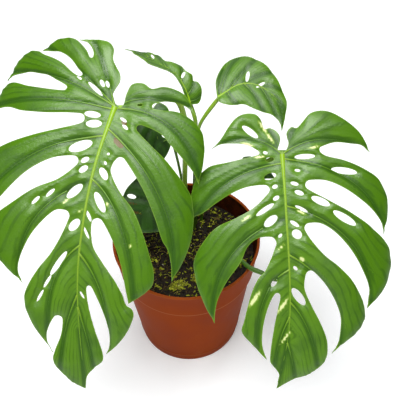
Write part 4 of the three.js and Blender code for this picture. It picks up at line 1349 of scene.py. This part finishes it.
section = [(0, FLOOR + 0.2), (inner_wall(FLOOR) - 2.2, FLOOR + 0.2)]
for height in (FLOOR + 3, BAND_FOOT - 1):
    section.append((inner_wall(height) - 0.3, height))
section += [(SOIL_RADIUS, SOIL_EDGE - 1)]
section += [(SOIL_RADIUS * (1 - i / SOIL_RINGS), SOIL_EDGE) for i in range(SOIL_RINGS + 1)]
bm = turned(section, SOIL_STEPS)
for vert in bm.verts:
    if vert.co.z > (SOIL_EDGE - 0.5) * MM:
        vert.co.z = crumble(vert.co.x / MM, vert.co.y / MM) * MM
finish_piece(bm, "peat", [peat], ["soil"], 180)

# %% Scatter helpers
random.seed(11)


def spot_in_pot(edge=1.5):
    """A random place on the peat, in millimetres."""
    radius = (SOIL_RADIUS - edge) * math.sqrt(random.random())
    angle = 2 * math.pi * random.random()
    x, y = radius * math.cos(angle), radius * math.sin(angle)
    return Vector((x, y, crumble(x, y)))


def random_turn():
    """A random rotation."""
    axis = Vector((random.gauss(0, 1), random.gauss(0, 1), random.gauss(0, 1)))
    return Matrix.Rotation(random.uniform(0, 2 * math.pi), 4, axis.normalized())


# %% Crumbs
def crumb(bm, place, size, shape, tone):
    """Adds one many-sided crumb, stretched by shape, and stores its tone."""
    layer = bm.verts.layers.float.get("tone") or bm.verts.layers.float.new("tone")
    matrix = Matrix.Translation(place * MM) @ random_turn() @ Matrix.Diagonal((*shape, 1))
    made = bmesh.ops.create_icosphere(bm, subdivisions=1, radius=size * MM, matrix=matrix)
    for vert in made["verts"]:
        vert.co += Vector([random.uniform(-0.14, 0.14) * size * MM for _ in range(3)])
        vert[layer] = tone


def gathered(batches):
    """One bmesh from many small ones, which is quicker than growing a big one."""
    whole = bmesh.new()
    for batch in batches:
        mesh = bpy.data.meshes.new("batch")
        batch.to_mesh(mesh)
        batch.free()
        whole.from_mesh(mesh)
        bpy.data.meshes.remove(mesh)
    return whole


# %% Material: crumbs and scraps, coloured by their stored tone
litter, tree, shader = new_material("peat_crumbs", 0.8)
place = add(tree, "TexCoord", out="Object")
tone = add(tree, "Attribute", out="Fac", attribute_name="tone")
tones = add(tree, "ValToRGB", {0: tone}, stops=[
    (0.0, "#0d0803"), (0.25, "#21160a"), (0.45, "#412d10"), (0.6, "#7a6330"), (0.62, "#666c10"),
    (0.8, "#a5a81f"), (0.95, "#cdd03c"), (1.0, "#e9e2c4")])
speck = add(tree, "TexNoise", {"Vector": place, "Scale": scale_for(0.909), "Detail": 3})
colour = paint(tree, tones, "#1b1407", speck, 0.35, 0.75, 0, 0.5)
coat(tree, shader, colour, speck, 0.5, 0.4)

# %% Strew crumbs, moss scraps, bark and pale grains
CRUMBS = 1500
SCRAPS = 620
BARK_CHIPS = 60
PALE_GRAINS = 40
BATCH = 100

kinds = ["crumb"] * CRUMBS + ["scrap"] * SCRAPS + ["bark"] * BARK_CHIPS + ["pale"] * PALE_GRAINS
batches = []
for i, kind in enumerate(kinds):
    if i % BATCH == 0:
        batches.append(bmesh.new())
    place = spot_in_pot()
    if kind == "crumb":
        size = random.uniform(0.6, 1.3) + 1.6 * random.random() ** 5
        crumb(batches[-1], place, size, (1, 0.8, 0.65), random.uniform(0.0, 0.6) ** 1.5)
    elif kind == "scrap":
        shape = (1.6, random.uniform(0.4, 0.9), random.uniform(0.25, 0.5))
        crumb(batches[-1], place + Vector((0, 0, 0.7)), random.uniform(0.6, 1.5), shape,
              random.uniform(0.64, 0.95))
    elif kind == "bark":
        crumb(batches[-1], place + Vector((0, 0, 0.4)), random.uniform(1.5, 2.6),
              (1.5, 0.7, 0.3), random.uniform(0.3, 0.58))
    else:
        crumb(batches[-1], place + Vector((0, 0, 0.5)), random.uniform(0.4, 0.8),
              (1, 0.9, 0.8), 1.0)
finish_piece(gathered(batches), "peat_crumbs", [litter], (), 40)

# %% Material and build: root fibres
FIBRES = 150

bm = bmesh.new()
for _ in range(FIBRES):
    start = spot_in_pot(6)
    way = random.uniform(0, 2 * math.pi)
    length = random.uniform(4, 11)
    path = []
    for share in (0, 0.35, 0.7, 1):
        x = start.x + math.cos(way) * length * share
        y = start.y + math.sin(way) * length * share
        rise = 0.5 + 1.4 * math.sin(math.pi * share) * random.random()
        path.append(Vector((x, y, soil_height(math.hypot(x, y)) + rise)))
        way += random.uniform(-0.5, 0.5)
    if path[-1].xy.length < SOIL_RADIUS - 1:
        thickness = random.uniform(0.16, 0.3)
        sweep(bm, [p * MM for p in path], [thickness * MM] * 4, 5, random.uniform(0, 1))
fibre, tree, shader = new_material("root_fibre", 0.75)
young = add(tree, "Attribute", out="Fac", attribute_name="young")
browns = add(tree, "ValToRGB", {0: young}, stops=[
    (0.0, "#3a2810"), (0.5, "#6c5322"), (0.8, "#8d7a36"), (1.0, "#a3a33a")])
tree.links.new(browns, shader.inputs["Base Color"])
finish_piece(bm, "peat_fibres", [fibre], (), 60)

# %% [markdown]
# ## Moss
# Each moss tuft is a low cushion, with hundreds of short leafy shoots standing out of it in
# every direction. The shoots are tiny crumbs drawn out long, yellow-green at their tips.

# %% Build the moss tufts
MOSS = [
    (-6, -36, 16, 11, 7, 10), (8, -28, 13, 9, 6, 60), (32, 14, 17, 12, 8, 35),
    (20, -2, 12, 9, 6, -20), (-28, -22, 12, 8, 5, 80), (40, -8, 10, 8, 5, 0)]
SHOOTS = 90


def moss_tuft(number, x, y, width, depth, height, turn):
    """A cushion of moss with its shoots."""
    at = Vector((x, y, soil_height(math.hypot(x, y)) - 0.5))
    lie = Matrix.Translation(at * MM) @ Matrix.Rotation(math.radians(turn), 4, "Z")
    size = Matrix.Diagonal((width / 2, depth / 2, height * 0.42, 1))
    bm = bmesh.new()
    layer = bm.verts.layers.float.new("tone")
    core = bmesh.ops.create_icosphere(bm, subdivisions=3, radius=0.8 * MM, matrix=lie @ size)
    for vert in core["verts"]:
        vert.co += Vector(noise.noise_vector(vert.co / MM / 2.4)) * 0.8 * MM
        vert[layer] = 0.64 + 0.1 * noise.noise(vert.co / MM / 3)
    shoots = bmesh.new()
    for _ in range(SHOOTS):
        spin = random.uniform(0, 2 * math.pi)
        reach = math.sqrt(random.uniform(0.02, 1))
        up = math.sqrt(max(0.0, 1 - reach ** 2))
        local = size @ Vector((reach * math.cos(spin), reach * math.sin(spin), up)) * 0.85
        place = lie @ (local * MM) / MM
        crumb(shoots, place, random.uniform(0.5, 1.1), (1.5, 0.4, 0.4),
              random.uniform(0.66, 0.97))
    finish_piece(gathered([bm, shoots]), f"moss_tuft_{number}", [litter],
                 [f"moss_clump_{number}"], 60)


for number, tuft in enumerate(MOSS, 1):
    moss_tuft(number, *tuft)

# %% [markdown]
# ## Floor and light
# The plant stands on a white floor under a big soft box, as it would for a catalogue. A large
# lamp gives soft shadows, a weaker one opens the shadow side, and the white world around fills
# the rest and puts broad pale reflections on the leaves. The floor glows a little, as white
# paper does when it is lit from below, so that it stays white right up to the pot's shadow.

# %% Floor
FLOOR_GLOW = 0.17
FLOOR_REACH = 3

bm = bmesh.new()
bmesh.ops.create_grid(bm, x_segments=4, y_segments=4, size=FLOOR_REACH)
mesh = bpy.data.meshes.new("floor")
bm.to_mesh(mesh)
bm.free()
floor = bpy.data.objects.new("floor", mesh)
bpy.context.scene.collection.objects.link(floor)
paper, tree, shader = new_material("white_paper", 0.9)
place = add(tree, "TexCoord", out="Object")
fibre = add(tree, "TexNoise", {"Vector": place, "Scale": scale_for(125), "Detail": 2})
whites = {6: linear("#f3f5f7"), 7: linear("#f6f8fa")}
colour = add(tree, "Mix", {0: fibre, **whites}, **BLEND_COLOURS)
tree.links.new(colour, shader.inputs["Base Color"])
shader.inputs["Emission Color"].default_value = (1, 1, 1, 1)
shader.inputs["Emission Strength"].default_value = FLOOR_GLOW
mesh.materials.append(paper)
print("floor ready")

# %% Lights
WORLD_LIGHT = 0.1
LAMP_AIM = (0, 0, 0.12)


def lamp(name, place, power, width, aim=LAMP_AIM):
    """A square soft lamp that looks at a place on the plant."""
    light = bpy.data.lights.new(name, "AREA")
    light.energy = power
    light.size = width
    made = bpy.data.objects.new(name, light)
    bpy.context.scene.collection.objects.link(made)
    made.location = place
    made.rotation_euler = (Vector(aim) - Vector(place)).to_track_quat("-Z", "Y").to_euler()
    print(name, "lamp:", power, "W")


lamp("key", (-0.15, -0.32, 1.42), 29, 0.9)
lamp("back", (0.2, 1.3, 1.3), 8, 1.2)
world = bpy.data.worlds.new("white_room")
world.use_nodes = True
background = world.node_tree.nodes["Background"]
background.inputs["Color"].default_value = (1, 1, 1, 1)
background.inputs["Strength"].default_value = WORLD_LIGHT
bpy.context.scene.world = world
bpy.context.scene.view_settings.view_transform = "Standard"
print("lamps and world ready")
